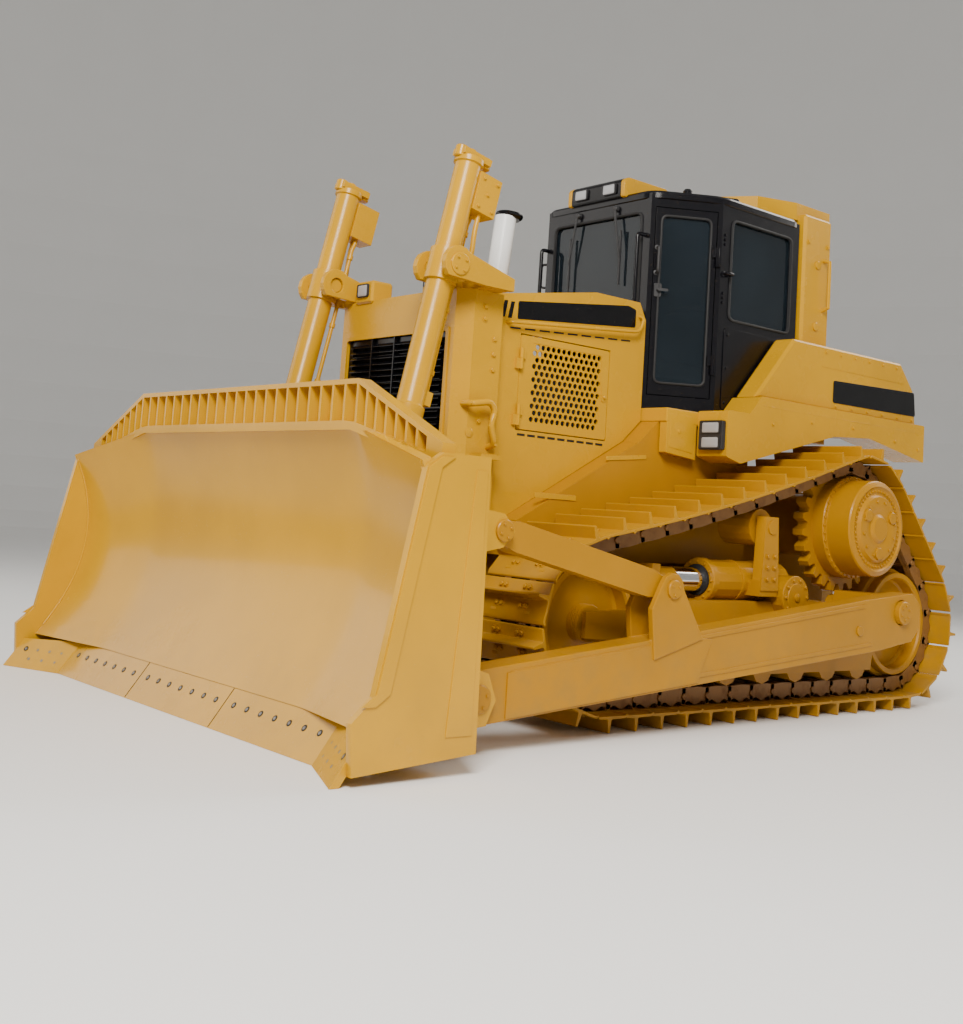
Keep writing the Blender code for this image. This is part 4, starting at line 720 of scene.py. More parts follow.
FACE = 1.500
DRUM = [(0.0, 0.560), (0.240, 0.5605), (0.240, TRACK_X - 0.200), (0.300, TRACK_X - 0.060),
        (0.390, TRACK_X - 0.044), (0.390, TRACK_X + 0.140), (0.382, TRACK_X + 0.150),
        (0.362, TRACK_X + 0.155), (0.360, TRACK_X + 0.165), (0.360, FACE - 0.034),
        (0.352, FACE - 0.023), (0.318, FACE - 0.010), (0.306, FACE - 0.024), (0.262, FACE - 0.028),
        (0.240, FACE - 0.004), (0.170, FACE + 0.002), (0.150, FACE - 0.004), (0.110, FACE - 0.008),
        (0.096, FACE + 0.004), (0.086, FACE + 0.011), (0.0, FACE + 0.012)]
for side, hand in HANDS:
    hub = lathe([(x, r) for r, x in DRUM], (0, *DRIVE), (side, 0, 0), 96)
    piece(f"final_drive_drum_{hand}", [hub, toothed_rim(side)], SHADED_LOW_PAINT,
          bevel=0.002, replaces=(f"final_drive_{hand}",))
    centre = np.array([side * (FACE - 0.026), *DRIVE])
    axis = (side, 0, 0)
    inner = np.array([side * (FACE - 0.006), *DRIVE])
    bosses = [button(p, axis, 0.046, 0.016, 0.021, 0.039, 24)
              for p in ring_places(inner, axis, 0.185, 3, 0.5)]
    piece(f"final_drive_bolts_{hand}",
          [bolts(ring_places(centre, axis, 0.284, 48), axis, 0.009, 0.010),
           bolts(ring_places(inner + [side * 0.004, 0, 0], axis, 0.205, 12, 0.2), axis,
                 0.011, 0.010),
           bolts(ring_places([side * (TRACK_X + 0.148), *DRIVE], axis, 0.374, 40), axis,
                 0.010, 0.010),
           *bosses], SHADED_LOW_PAINT)


print("drum steps:", len(DRUM))

# %% Idlers
def idler_wheel(centre):
    """Half the wheel's profile, from the hub's outer face to the middle, mirrored across it."""
    half = [(0.176, 0.0), (0.176, 0.050), (0.172, 0.060), (0.150, 0.062), (0.146, 0.112),
            (0.060, 0.120), (0.048, 0.150), (0.030, 0.330), (0.046, 0.350), (0.130, 0.352),
            (0.144, 0.362), (0.144, 0.396), (0.138, 0.4005), (0.074, 0.4005), (0.062, 0.428),
            (0.050, 0.433)]
    profile = np.array(half + [(-x, r) for x, r in reversed(half)])
    return lathe(profile, centre, (1, 0, 0), 80)


for side, hand in HANDS:
    for name, y in (("front", FRONT_Y), ("rear", REAR_Y)):
        centre = (side * TRACK_X, y, IDLER_Z)
        face = (side * (TRACK_X + 0.176), y, IDLER_Z)
        coils = [lathe([(x - 0.005, 0.113), (x, 0.122), (x + 0.005, 0.113)], centre,
                       (side, 0, 0), 40)
                 for x in np.arange(0.072, 0.146, 0.016)]
        caps = bolts(ring_places(face, (side, 0, 0), 0.040, 6), (side, 0, 0), 0.007, 0.006)
        piece(f"{name}_idler_wheel_{hand}", [idler_wheel(centre), *coils, caps], SHADED_LOW_PAINT,
              bevel=0.002, replaces=(f"{name}_idler_{hand}",))
print("idlers turned:", 4)

# %% [markdown]
# ## Recoil spring housing and pivot shaft
# The front idler is pushed forwards by a spring in a tube, through a ground rod with a seal.
# The pivot shaft ends in a bolted cap. Both are turned parts, laid over the plain solids.

# %% Recoil rod, gland and pivot cap
RECOIL_Z = 0.930
for side, hand in HANDS:
    x, axis = side * TRACK_X, (0, 1, 0)
    sleeve = lathe([(-0.640, 0.079), (-0.640, 0.083), (-0.352, 0.083), (-0.352, 0.079)],
                   (x, 0, RECOIL_Z), axis, 48)
    piece(f"recoil_rod_{hand}", [sleeve], CHROME)
    seal_ring = lathe([(-0.362, 0.083), (-0.362, 0.106), (-0.345, 0.108), (-0.345, 0.083)],
                      (x, 0, RECOIL_Z), axis, 48)
    piece(f"recoil_seal_{hand}", [seal_ring], RUBBER)
    gland = lathe([(-0.346, 0.083), (-0.346, 0.146), (-0.338, 0.152), (-0.290, 0.152),
                   (-0.280, 0.1395)], (x, 0, RECOIL_Z), axis, 56)
    bands = [lathe([(y, 0.139), (y, 0.146), (y + 0.03, 0.146), (y + 0.03, 0.139)],
                   (x, 0, RECOIL_Z), axis, 48) for y in (-0.02, 0.24)]
    face = (side * (TRACK_X + 0.260), 0.420, 0.840)
    out = (side, 0, 0)
    cap = [lathe([(-0.010, 0.152), (0.006, 0.152), (0.010, 0.147), (0.010, 0.100), (0.016, 0.095),
                  (0.016, 0.0)], face, out, 48),
           bolts(ring_places(np.array(face) + [side * 0.010, 0, 0], out, 0.124, 10), out,
                 0.012, 0.012),
           lathe([(0.016, 0.030), (0.026, 0.030), (0.029, 0.024), (0.029, 0)], face, out, 24)]
    carrier = bolts([(side * 1.366, y, z) for y in (0.110, 0.190) for z in (0.960, 1.040, 1.120)],
                    out, 0.014, 0.014)
    studs = bolts(ring_places((x, -0.346, RECOIL_Z), (0, -1, 0), 0.128, 12), (0, -1, 0),
                  0.009, 0.010)
    piece(f"recoil_and_pivot_caps_{hand}", [gland, *bands, *cap, studs, carrier], SHADED_LOW_PAINT,
          bevel=0.001)
print("recoil and pivot dressed")

# %% [markdown]
# ## The blade
# The moldboard is rolled plate: a shallow trough that rolls the earth forwards, with two
# wings bent ahead. Flat facets would break its long reflections, so a smooth surface of two
# parameters, the height and the way across, lies a few millimetres over the solid's facets.

# %% The rolled face
EDGE_Y, CREST_Y, EDGE_Z, CREST_Z = -3.530, -3.380, 0.245, 1.700
WING_X, BLADE_X, BOWL, SWEEP = 1.250, 2.090, 0.210, 0.160


def wing_share(x, soft=0.06):
    """0 in the middle and 1 at the ends, with the fold rounded: (t + sqrt(t * t + e * e)) / 2."""
    t = (np.abs(x) - WING_X) / (BLADE_X - WING_X)
    return (t + np.sqrt(t * t + soft * soft)) / 2


def rolled_face(s, x, ahead=0.005):
    """y = straight line from edge to crest + bowl * 4 s (1 - s) - sweep * wing; z rises with s."""
    wing = wing_share(x)
    crest = CREST_Z - wing * 0.200
    y = EDGE_Y + (CREST_Y - EDGE_Y) * s + BOWL * 4 * s * (1 - s) - SWEEP * wing - ahead
    return np.stack([x, y, EDGE_Z + (crest - EDGE_Z) * s], -1)


s, x = np.meshgrid(np.linspace(-0.022, 0.996, 41), np.linspace(-2.048, 2.048, 90), indexing="ij")
face = np.pad(rolled_face(s, x), ((1, 1), (1, 1), (0, 0)), mode="edge")
face[[0, -1], :, 1] += 0.012
face[:, [0, -1], 1] += 0.012
piece("moldboard_face", [sheet_of(face)], BLADE_PAINT, "blade_group", outward=False)
print("rolled face:", face.shape)

# %% [markdown]
# ## Edges of the blade
# The wearing edge is bolted on in sections by countersunk plough bolts. Their places lie on
# slanted plates, so two small functions turn "along" and "up" into points. A weld bead is a
# tube that swells and shrinks; modelled, it catches light as bump alone would not.

# %% Weld beads and side strips
def bead(points, radius=0.007):
    """A weld bead: a thin tube whose radius swells and shrinks along its run."""
    path = np.asarray(points, float)
    t = np.linspace(0, 1, max(8, int(np.linalg.norm(path[-1] - path[0]) / 0.02)))
    run = np.stack([np.interp(t, np.linspace(0, 1, len(path)), path[:, k]) for k in range(3)], 1)
    swell = radius * (1 + 0.18 * np.cos(np.arange(len(t)) * math.pi))
    tangent = np.gradient(run, axis=0)
    _, u, v = frame_about(tangent.mean(0))
    circle = round_of(1.0, 8)
    ring = circle[None, :, :1] * u + circle[None, :, 1:] * v
    loops = run[:, None] + swell[:, None, None] * ring
    return skin(loops)


def strip_along(points, width, low, high):
    """A flat bar across X that follows a line in the side plane and lies behind it by its width."""
    line = np.asarray(points, float)
    inner = line + np.array([width, 0.0])
    return slab(np.concatenate([line, inner[::-1]]), low, high)


side_edge = [(-3.800, 0.360), (-3.722, 0.415), (-3.508, 1.478), (-3.430, 1.532)]
t = np.linspace(0.03, 0.97, 24)
for side, hand in HANDS:
    inner = rolled_face(t, np.full(24, side * 2.044), 0.008)
    shapes = [strip_along(side_edge, 0.075, side * 2.088, side * 2.100), bead(inner)]
    shapes.append(slab([(-3.300, 0.20), (-3.140, 0.20), (-3.140, 1.48), (-3.210, 1.48)],
                       side * 2.088, side * 2.096))
    piece(f"blade_side_strips_{hand}", shapes, BLADE_PAINT, "blade_group", 0.003)


print("beads and side strips laid")

# %% Plough bolts on the slanted edge
TIP = np.array([-3.707, 0.0])
RISE = np.array([EDGE_Y, EDGE_Z]) - TIP
RISE = RISE / np.linalg.norm(RISE)
AHEAD = np.array([-RISE[1], RISE[0]])


def edge_point(x, up, proud=0.0):
    """A place on the straight edge's face: up from its lip, and proud of it."""
    flat = TIP + RISE * up + AHEAD * proud
    return np.array([x, *flat])


def bit_point(side, u, up, proud=0.0):
    """A place on an end bit's face: u runs from the straight edge to the corner."""
    first = np.array([side * 1.600, TIP[0] - 0.004, 0.0])
    last = np.array([side * 2.050, -3.918, 0.0])
    rise = np.array([0.0, *RISE])
    across = (last - first) / np.linalg.norm(last - first)
    normal = np.cross(rise, across) * side
    return first + (last - first) * u + rise * up + normal * (proud if normal[1] < 0 else -proud)


bolt_x = np.concatenate([np.linspace(-0.43, 0.43, 7) + c for c in (-1.062, 0.0, 1.062)])
# The recesses are flat near-black discs round each head: painted shade standing for the countersunk
# holes.
shade_disc_profile = [(-0.004, 0.019), (0.0012, 0.019), (0.0012, 0.0)]
head = [(-0.004, 0.011), (0.0024, 0.011), (0.0030, 0.009), (0.0030, 0.0)]
normal = (0.0, *AHEAD)
recess_shade_discs = [lathe(shade_disc_profile, edge_point(x, 0.165), normal, 16) for x in bolt_x]
heads = [lathe(head, edge_point(x, 0.165), normal, 10) for x in bolt_x]
for side in (1, -1):
    for row, up in ((0.16, 0.075), (0.40, 0.075), (0.64, 0.075), (0.16, 0.150), (0.38, 0.150),
                    (0.60, 0.150), (0.82, 0.150)):
        place = bit_point(side, row, up)
        out = bit_point(side, row, up, 0.01) - place
        recess_shade_discs.append(lathe(shade_disc_profile, place, out, 16))
        heads.append(lathe(head, place, out, 10))
piece("plough_bolt_recess_shade", recess_shade_discs, HOLLOW_SHADE, "blade_group")
piece("plough_bolt_heads", heads, EDGE, "blade_group")
# The seams between edge sections are thin near-black rods: painted shade in the gaps between the
# sections.
seam_shade_lines = []
for x in (-0.531, 0.531):
    low, high = edge_point(x, 0.004, 0.0006), edge_point(x, 0.258, 0.0006)
    seam_shade_lines.append(rod(low, high, 0.0022, 6))
piece("edge_section_seam_shade", seam_shade_lines, HOLLOW_SHADE, "blade_group")
print("plough bolts:", len(heads))

# %% [markdown]
# ## Arms, pins and their caps
# Heavy pins hold the arms and the brace. Each shows a turned cap with bolts, and the arms
# carry doubling plates. The caps share one function, so they look like one maker's work.

# %% Arms, pins and caps
def pin_cap(centre, axis, radius, bolts_round=4):
    """A pin's end: a turned cap with a chamfer, and bolts round it."""
    cap = button(centre, axis, radius, 0.012, 0.018, radius - 0.006, 36)
    top = np.asarray(centre, float) + np.asarray(axis, float) * 0.018
    return joined(cap, bolts(ring_places(top, axis, radius * 0.62, bolts_round, 0.4), axis,
                             0.009, 0.008))


ARM_X = 1.718      # the push arm's outer face
for side, hand in HANDS:
    axis = (side, 0, 0)
    shapes = [pin_cap((side * 1.735, -2.690, 1.190), axis, 0.062),
              pin_cap((side * 1.740, -1.300, 0.900), axis, 0.058, 3),
              pin_cap((side * 1.765, -2.820, 0.310), axis, 0.075),
              rod((side * 0.50, -2.880, 0.520), (side * 0.85, -2.880, 0.520), 0.042, 24, 0.004)]
    piece(f"blade_pin_caps_{hand}", shapes, SHADED_LOW_PAINT, "blade_group", 0.002)
    arm = [slab([(-2.560, 0.225), (0.880, 0.535), (0.880, 0.560), (-2.560, 0.250)],
                side * ARM_X, side * (ARM_X + 0.008)),
           slab([(-2.560, 0.420), (0.780, 0.800), (0.780, 0.825), (-2.560, 0.445)],
                side * ARM_X, side * (ARM_X + 0.008)),
           slab([(-2.590, 0.190), (-1.020, 0.335), (-0.900, 0.600), (-1.060, 0.610),
                 (-2.590, 0.435)],
                side * ARM_X, side * (ARM_X + 0.011)),
           slab([(-0.080, 0.705), (0.170, 0.733), (0.170, 0.752), (-0.080, 0.724)],
                side * 1.560, side * 1.700)]
    arm.append(button((side * 1.7195, 0.720, 0.640), axis, 0.036, 0.010, 0.014, 0.030, 24))
    piece(f"push_arm_plates_{hand}", arm, SHADED_LOW_PAINT, "blade_group", 0.003)
    cap = [pin_cap((side * 1.7405, 1.250, 0.770), axis, 0.083, 6)]
    piece(f"trunnion_cap_{hand}", cap, SHADED_LOW_PAINT, "tractor", 0.002)
print("pins and plates on the arms")

# %% [markdown]
# ## Grille and guard
# Air goes in through pressed louvres, black so that dust and shadow don't show. Each louvre
# is one curved slat, a short arc in section, copied down the opening. The guard's sides
# carry a grab bar, a step and rows of bolts.

# %% Louvres
def louvre(low, high, z, deep=0.046, drop=0.030, thick=0.003):
    """A slat across X: its section is y forwards, z falling by a quarter cosine."""
    t = np.linspace(0, 1, 8)
    y = GRILLE_Y - deep * t
    fall = z - drop * (1 - np.cos(t * math.pi / 2))
    upper = np.stack([y, fall], 1)
    return slab(np.concatenate([upper, (upper - [0, thick])[::-1]]), low, high)


GRILLE_Y = -2.196
slats = [louvre(-0.515, 0.515, z) for z in np.linspace(1.312, 2.400, 27)]
bars = [block((x - 0.006, -2.246, 1.252), (x + 0.006, -2.198, 2.428)) for x in (-0.258, 0.0, 0.258)]
piece("grille_louvres", slats, GLOSS_BLACK)
piece("grille_bars", bars, GLOSS_BLACK, bevel=0.002)
# The radiator core is a near-black block in the painted-shade finish: partly the core's own dark
# colour, partly painted shade behind the louvres.
core = block((-0.540, -2.176, 1.262), (0.540, -2.150, 2.420))
piece("radiator_core", [core], HOLLOW_SHADE)

rim = rectangle((-0.585, 1.225), (0.585, 2.455), 0.03)
hole = rectangle((-0.556, 1.254), (0.556, 2.426), 0.02)
border = hoop("Y", (rim, -2.2395), (rim, -2.250), (hole, -2.250), (hole, -2.2395))
piece("grille_rim", [border], PAINT, bevel=0.002)
print("louvres:", len(slats), "bars:", len(bars))

# %% Square lamps
def lamp(x, y, z, half_x, half_z, depth=0.016):
    """A square lamp: a black rounded bezel and a bowed cover in front of it."""
    outer = rectangle((x - half_x, z - half_z), (x + half_x, z + half_z), 0.014)
    middle = np.array([x, z])
    inner = middle + (outer - middle) * 0.86
    bezel = hoop("Y", (outer, y + 0.014), (outer, y - 0.002), (inner, y - 0.002),
                 (inner, y + 0.014))
    shrink = np.array([1.0, 0.96, 0.8, 0.4, 0.02])
    out = depth * np.array([0.0, 0.25, 0.42, 0.50, 0.52])
    cover = skin([lift(middle + (inner - middle) * k, y - d + 0.004, "Y")
                  for k, d in zip(shrink, out)])
    return bezel, cover


bezels, covers = [], []
LAMPS = [(0.150, -0.436, 3.815, 0.070, 0.042), (-0.150, -0.436, 3.815, 0.070, 0.042)]
for side in (1, -1):
    LAMPS += [(side * 0.380, -2.274, 2.770, 0.065, 0.046),
              (side * 1.010, -0.145, 2.003, 0.088, 0.043),
              (side * 1.010, -0.145, 1.897, 0.088, 0.043)]
for place in LAMPS:
    bezel, cover = lamp(*place)
    bezels.append(bezel)
    covers.append(cover)
piece("lamp_bezels", bezels, PLASTIC)
piece("lamp_covers", covers, LAMP)
print("lamps:", len(LAMPS))

# %% The guard's bolts, bars and steps
GUARD_X, BAR_X, STEP_Z = 0.700, 0.775, 1.6515
BAR = ((0.690, -2.170, 1.960), (BAR_X, -2.170, 1.960), (BAR_X, -2.020, 1.985),
       (BAR_X, -1.975, 1.930), (BAR_X, -2.010, 1.830), (BAR_X, -1.960, 1.720),
       (0.690, -1.960, 1.700))
fittings, tubes = [], []
for side in (1, -1):
    out = (side, 0, 0)
    rows = [(side * GUARD_X, -2.050, z) for z in (1.30, 1.42, 1.86, 2.52, 2.60)]
    rows += [(side * GUARD_X, -1.960, z) for z in (1.24, 1.36, 2.20, 2.30, 2.40)]
    fittings.append(bolts(rows, out, 0.016, 0.012))
    fittings.append(button((side * GUARD_X, -2.120, 1.780), out, 0.030, 0.004, 0.006, 0.026, 24))
    tubes.append(rail([(side * x, y, z) for x, y, z in BAR], 0.0215, 0.065, 14, (0.2, 0.1, 1.0)))
    fittings.append(copies(block((-0.045, -0.004, 0.0), (0.045, 0.004, 0.005)),
                           [(side * 0.755, y, STEP_Z) for y in np.linspace(-2.085, -1.945, 8)]))
piece("guard_bolts", fittings, PAINT)
piece("guard_grab_bars", tubes, PAINT)
print("pieces on the guard:", len(fittings) + len(tubes))

# %% [markdown]
# ## Hood and its doors
# The side doors let hot air out through a field of slotted holes in staggered rows. A hole
# is made by joining a rounded cell to an oval ring inside it, so the plate is really open
# and the dark engine bay shows behind it.

# %% Perforated doors
def perforated(low, high, rows, columns, x_out, thick, hole=(0.41, 0.41), steps=12):
    """A plate in the side plane: every cell is a ring of quads from its oblong border to an oval
    hole of radius (hole * cell); odd rows are moved half a cell."""
    cell = np.array([(high[0] - low[0]) / (columns + 0.5), (high[1] - low[1]) / rows])
    angle = np.linspace(0, 2 * np.pi, steps, endpoint=False) + math.pi / steps
    ray = np.stack([np.cos(angle), np.sin(angle)], 1)
    square = ray / np.abs(ray).max(1)[:, None] * 0.5
    j, i = np.meshgrid(np.arange(rows), np.arange(columns), indexing="ij")
    centre = np.stack([low[0] + (i + 0.5 + 0.5 * (j % 2)) * cell[0],
                       low[1] + (j + 0.5) * cell[1]], -1).reshape(-1, 1, 2)
    border, oval = centre + square * cell, centre + ray * cell * np.array(hole)
    shapes = []
    for ring, edge in zip(border, oval):
        shapes.append(skin([lift(ring, x_out, "X"), lift(edge, x_out, "X"),
                            lift(edge, x_out - thick, "X"), lift(ring, x_out - thick, "X")],
                           caps=False))
    return joined(*shapes)


def door_rim(low, high, hole_low, hole_high, x_in, x_out, fold=0.008):
    """The solid border of a door: its outer edge is rolled, and it is open inside the field."""
    outer = rectangle(low, high, 0.022, 5)
    inner = rectangle(hole_low, hole_high, 0.004, 5)
    return hoop("X", (outer, x_in), (outer, x_out - fold),
                (outer + (inner - outer) * 0.04, x_out), (inner, x_out), (inner, x_in))


FIELD = ((-1.545, 1.905), (-0.880, 2.440))      # the holes' field, as (y, z) corners
ROWS, COLUMNS, ROW_STEP, ROW_HALF = 12, 13, 0.04458, 0.0223
SKIN_X, SKIN_THICK = 0.618, 0.010
INSIDE_X = 0.608
HINGE_Z = (1.945, 2.320)
for hand in ("left", "right"):
    field = perforated(*FIELD, ROWS, COLUMNS, SKIN_X, SKIN_THICK)
    rim = door_rim((-1.654, 1.851), (-0.806, 2.484), *FIELD, 0.592, 0.6205)
    half = (FIELD[1][0] - FIELD[0][0]) / (COLUMNS + 0.5) / 2
    combs = [block((INSIDE_X, near, z - ROW_HALF), (SKIN_X, far, z + ROW_HALF))
             for first, near, far in ((1, FIELD[0][0], FIELD[0][0] + half),
                                      (0, FIELD[1][0] - half, FIELD[1][0]))
             for z in FIELD[0][1] + (np.arange(first, ROWS, 2) + 0.5) * ROW_STEP]
    latch = joined(slab(rectangle((-0.870, 2.120), (-0.822, 2.230), 0.012), SKIN_X, 0.626),
                   button((0.626, -0.846, 2.150), (1, 0, 0), 0.013, 0.010, 0.014, 0.009, 20))
    knuckle = joined(*(rod((0.642, -1.660, z), (0.642, -1.660, z + 0.070), 0.0142, 20, 0.002)
                       for z in HINGE_Z))
    leaf = joined(*(block((0.6195, -1.655, z), (0.640, -1.622, z + 0.070)) for z in HINGE_Z))
    shapes = [field, rim, latch, knuckle, leaf, *combs]
    piece(f"engine_door_panel_{hand}", handed(shapes, hand), PAINT, f"engine_door_{hand}",
          0.0015, (f"engine_door_{hand}",))
print("holes in each door:", ROWS * COLUMNS)

# %% [markdown]
# ## Panels and rails on the hood
# The black panels are thin plates laid on the flank and stay bare. A decal could be paint
# alone, but a thin plate gives a true edge. The handrail is a bent tube along five points.

# %% Decal panels, handrails, and slots and grooves in painted shade on the hood
def on_hood(points, low=0.6195, high=0.6225, side=1):
    """A thin plate on the hood's flank."""
    return slab(points, side * low, side * high)


HOOD_RAIL = ((0.612, -1.790, 2.545), (0.668, -1.780, 2.545), (0.668, -0.560, 2.655),
             (0.668, -0.520, 2.760), (0.612, -0.520, 2.780))
panels, rails, slots, groove_shade_strips = [], [], [], []
for side in (1, -1):
    panels.append(on_hood(softened([(-1.700, 2.580), (-0.560, 2.690), (-0.560, 2.820),
                                    (-0.640, 2.838), (-1.700, 2.700)], 0.012), side=side))
    for y in (-1.845, -1.785):
        panels.append(on_hood([(y, 2.575), (y + 0.032, 2.578), (y + 0.052, 2.690),
                               (y + 0.020, 2.687)], side=side))
    rails.append(rail([(side * x, y, z) for x, y, z in HOOD_RAIL], 0.0125, 0.05, 12,
                      (0.3, 0.1, 1.0)))
    # The slots and the grooves are thin near-black plates on the flank: painted shade standing for
    # openings and gaps.
    for y in np.linspace(-1.760, -0.700, 9):
        z = 2.508 + (y + 1.76) * 0.062
        slots.append(on_hood([(y, z), (y + 0.095, z + 0.006), (y + 0.095, z + 0.018),
                              (y, z + 0.012)], 0.6197, 0.6204, side))
    for y in np.linspace(-1.640, -0.900, 9):
        slots.append(on_hood(rectangle((y, 1.808), (y + 0.070, 1.824)), 0.6197, 0.6204, side))
    groove_shade_strips.append(on_hood(rectangle((-1.885, 1.30), (-1.872, 2.66)), 0.6197, 0.6206, side))
piece("hood_side_panels", panels, GLOSS_BLACK, bevel=0.001)
piece("hood_rails", rails, PAINT)
piece("hood_slot_shade", slots, HOLLOW_SHADE)
piece("hood_groove_shade", groove_shade_strips, HOLLOW_SHADE)
print("hood dressed")

# %% [markdown]
# ## Windows, seals and handles of the cab
# The cab is a bent box: its walls lie in planes turned about the vertical. Every fitting is
# drawn flat, as (run, height), and then set on its wall by two unit vectors and an origin.
# So one table of walls serves the seals, wipers, hinge bolts and handles of both sides.

# %% Walls and the way on to them
WALLS = {"front": ((0.0, -0.380, 0.0), (1.0, 0.0, 0.0)),
         "door": ((0.550, -0.380, 0.0), (0.5463, 0.8376, 0.0)),
         "side": ((0.850, 0.080, 0.0), (0.0, 1.0, 0.0)),
         "back": ((0.0, 1.030, 0.0), (-1.0, 0.0, 0.0))}


def on_wall(wall, shape):
    """A shape drawn as (run, height, proud), laid on a wall: origin + run e1 + height z
    + proud n."""
    origin, run = (np.array(v) for v in WALLS[wall])
    rise = np.array([0.0, 0.0, 1.0])
    turn = np.stack([run, rise, np.cross(run, rise)])
    return shape[0] @ turn + origin, shape[1]


def seal(low, high, radius=0.07, width=0.022, proud=0.012):
    """A rubber seal: a rounded loop whose section is a low dome, from the wall out and back in."""
    outer = rectangle(low, high, radius, 6)
    middle = outer.mean(0)
    inner = rectangle((low[0] + width, low[1] + width), (high[0] - width, high[1] - width),
                      max(radius - width, 0.01), 6)
    share = np.array([0.0, 0.12, 0.5, 0.88, 1.0])
    height = np.array([0.0, 0.75, 1.0, 0.75, -0.6]) * proud
    return skin([lift(outer + (inner - outer) * k, h, "Z") for k, h in zip(share, height)]
                + [lift(outer, -0.002, "Z")], ring=True)


def grip(points, radius=0.011, bend_radius=0.03):
    """A bent handle with a round foot plate at each end, in a wall's plane."""
    points = np.asarray(points, float)
    feet = [lathe([(0, 0.020), (0.004, 0.020), (0.006, 0.015)], (*p[:2], 0.0), (0, 0, 1), 16)
            for p in (points[0], points[-1])]
    return joined(rail(points, radius, bend_radius, 12, (0.31, 0.2, 0.93)), *feet)


def both(shapes):
    """Shapes and their mirror images."""
    return list(shapes) + [mirrored(shape) for shape in shapes]


seals = [on_wall("front", seal((-0.475, 2.585), (0.475, 3.615))),
         on_wall("back", seal((-0.535, 2.835), (0.535, 3.615)))]
seals += both([on_wall("side", seal((0.105, 2.835), (0.865, 3.615)))])
piece("window_seals", seals, RUBBER)
print("window seals:", len(seals))

# %% [markdown]
# ## Fittings that swing with the doors
# What is screwed to a door must swing with it, so these pieces ride on the doors' bodies. They
# are drawn once for the left door, and the right hand gets their mirror images. The wipers
# and the long grab handles stay with the cab.

# %% Door seals and handles
for hand in ("left", "right"):
    ring = on_wall("door", seal((0.075, 2.315), (0.474, 3.585), 0.06, 0.020, 0.014))
    piece(f"cab_door_seal_{hand}", handed([ring], hand), RUBBER, f"cab_door_{hand}")
    parts = [grip([(0.060, 3.140, 0.0), (0.060, 3.140, 0.055), (0.060, 3.330, 0.055),
                   (0.060, 3.330, 0.0)], 0.010),
             slab(rectangle((0.050, 2.960), (0.105, 3.060), 0.012, 6), 0.0, 0.012, "Z"),
             rod((0.078, 3.010, 0.008), (0.078, 3.010, 0.034), 0.012, 16, 0.003),
             slab(rectangle((0.070, 3.000), (0.150, 3.020), 0.008, 6), 0.030, 0.040, "Z")]
    piece(f"cab_door_handle_{hand}", handed([on_wall("door", s) for s in parts], hand), PLASTIC,
          f"cab_door_{hand}", bevel=0.001)


print("doors fitted:", 2)

# %% Grab handles and wipers
trim = []
for x in (-0.515, 0.515):
    trim.append(on_wall("front", grip([(x, 2.66, 0.0), (x, 2.66, 0.095), (x, 3.42, 0.095),
                                       (x, 3.42, 0.0)], 0.0150)))
trim += both([on_wall("side", bolts([(0.040, z + k, 0.0) for z in (3.440, 3.000)
                                     for k in (-0.035, 0.0, 0.035)], (0, 0, 1), 0.010, 0.010)),
              on_wall("side", grip([(0.035, 3.180, 0.0), (0.035, 3.180, 0.045),
                                    (0.100, 3.180, 0.045), (0.100, 3.180, 0.0)], 0.012, 0.02))])
piece("cab_grab_handles", trim, BLACK)


def wiper(pivot, tip, blade=0.42):
    """A wiper: a turned pivot, a tapering arm and a blade of rubber square to it."""
    pivot, tip = np.array(pivot, float), np.array(tip, float)
    along = (tip - pivot) / np.linalg.norm(tip - pivot)
    side = np.array([-along[1], along[0]])
    arm = np.array([pivot + side * 0.011, tip + side * 0.005, tip - side * 0.005,
                    pivot - side * 0.011])
    lean = np.array([0.0, 1.0])
    strip = np.array([tip - lean * blade / 2, tip + lean * blade / 2])
    wide = np.array([0.007, 0.0])
    edge = np.array([strip[0] - wide, strip[0] + wide, strip[1] + wide, strip[1] - wide])
    return joined(lathe([(0, 0.024), (0.026, 0.022), (0.034, 0.016), (0.034, 0.0)],
                        (*pivot, 0.0), (0, 0, 1), 20),
                  slab(arm, 0.024, 0.032, "Z"), slab(edge, 0.010, 0.024, "Z"))


wipers = [on_wall("front", wiper((-0.20, 3.665), (-0.27, 3.280))),
          on_wall("front", wiper((0.20, 3.665), (0.27, 3.280))),
          on_wall("back", wiper((0.0, 3.665), (0.12, 3.360), 0.34))]
piece("cab_wipers", wipers, PLASTIC, bevel=0.001)
print("handles and wipers set")

# %% [markdown]
# ## Roof and lamp box
# The roof is a pressed cap with a rolled edge: loops of the cab's plan, drawn in and raised.
# The lamp box is one outline in the side plane, cut into a black middle and yellow ends.

# %% Roof cap, lamp box and lower panels
CAB_TOP = np.array([(-0.550, -0.380), (0.550, -0.380), (0.850, 0.080), (0.850, 1.030),
                    (-0.850, 1.030), (-0.850, 0.080)])


def shrunk(plan, inset):
    """A plan drawn in towards its middle by about an inset."""
    middle = plan.mean(0)
    away = plan - middle
    return middle + away * (1 - inset / np.linalg.norm(away, axis=1))[:, None]


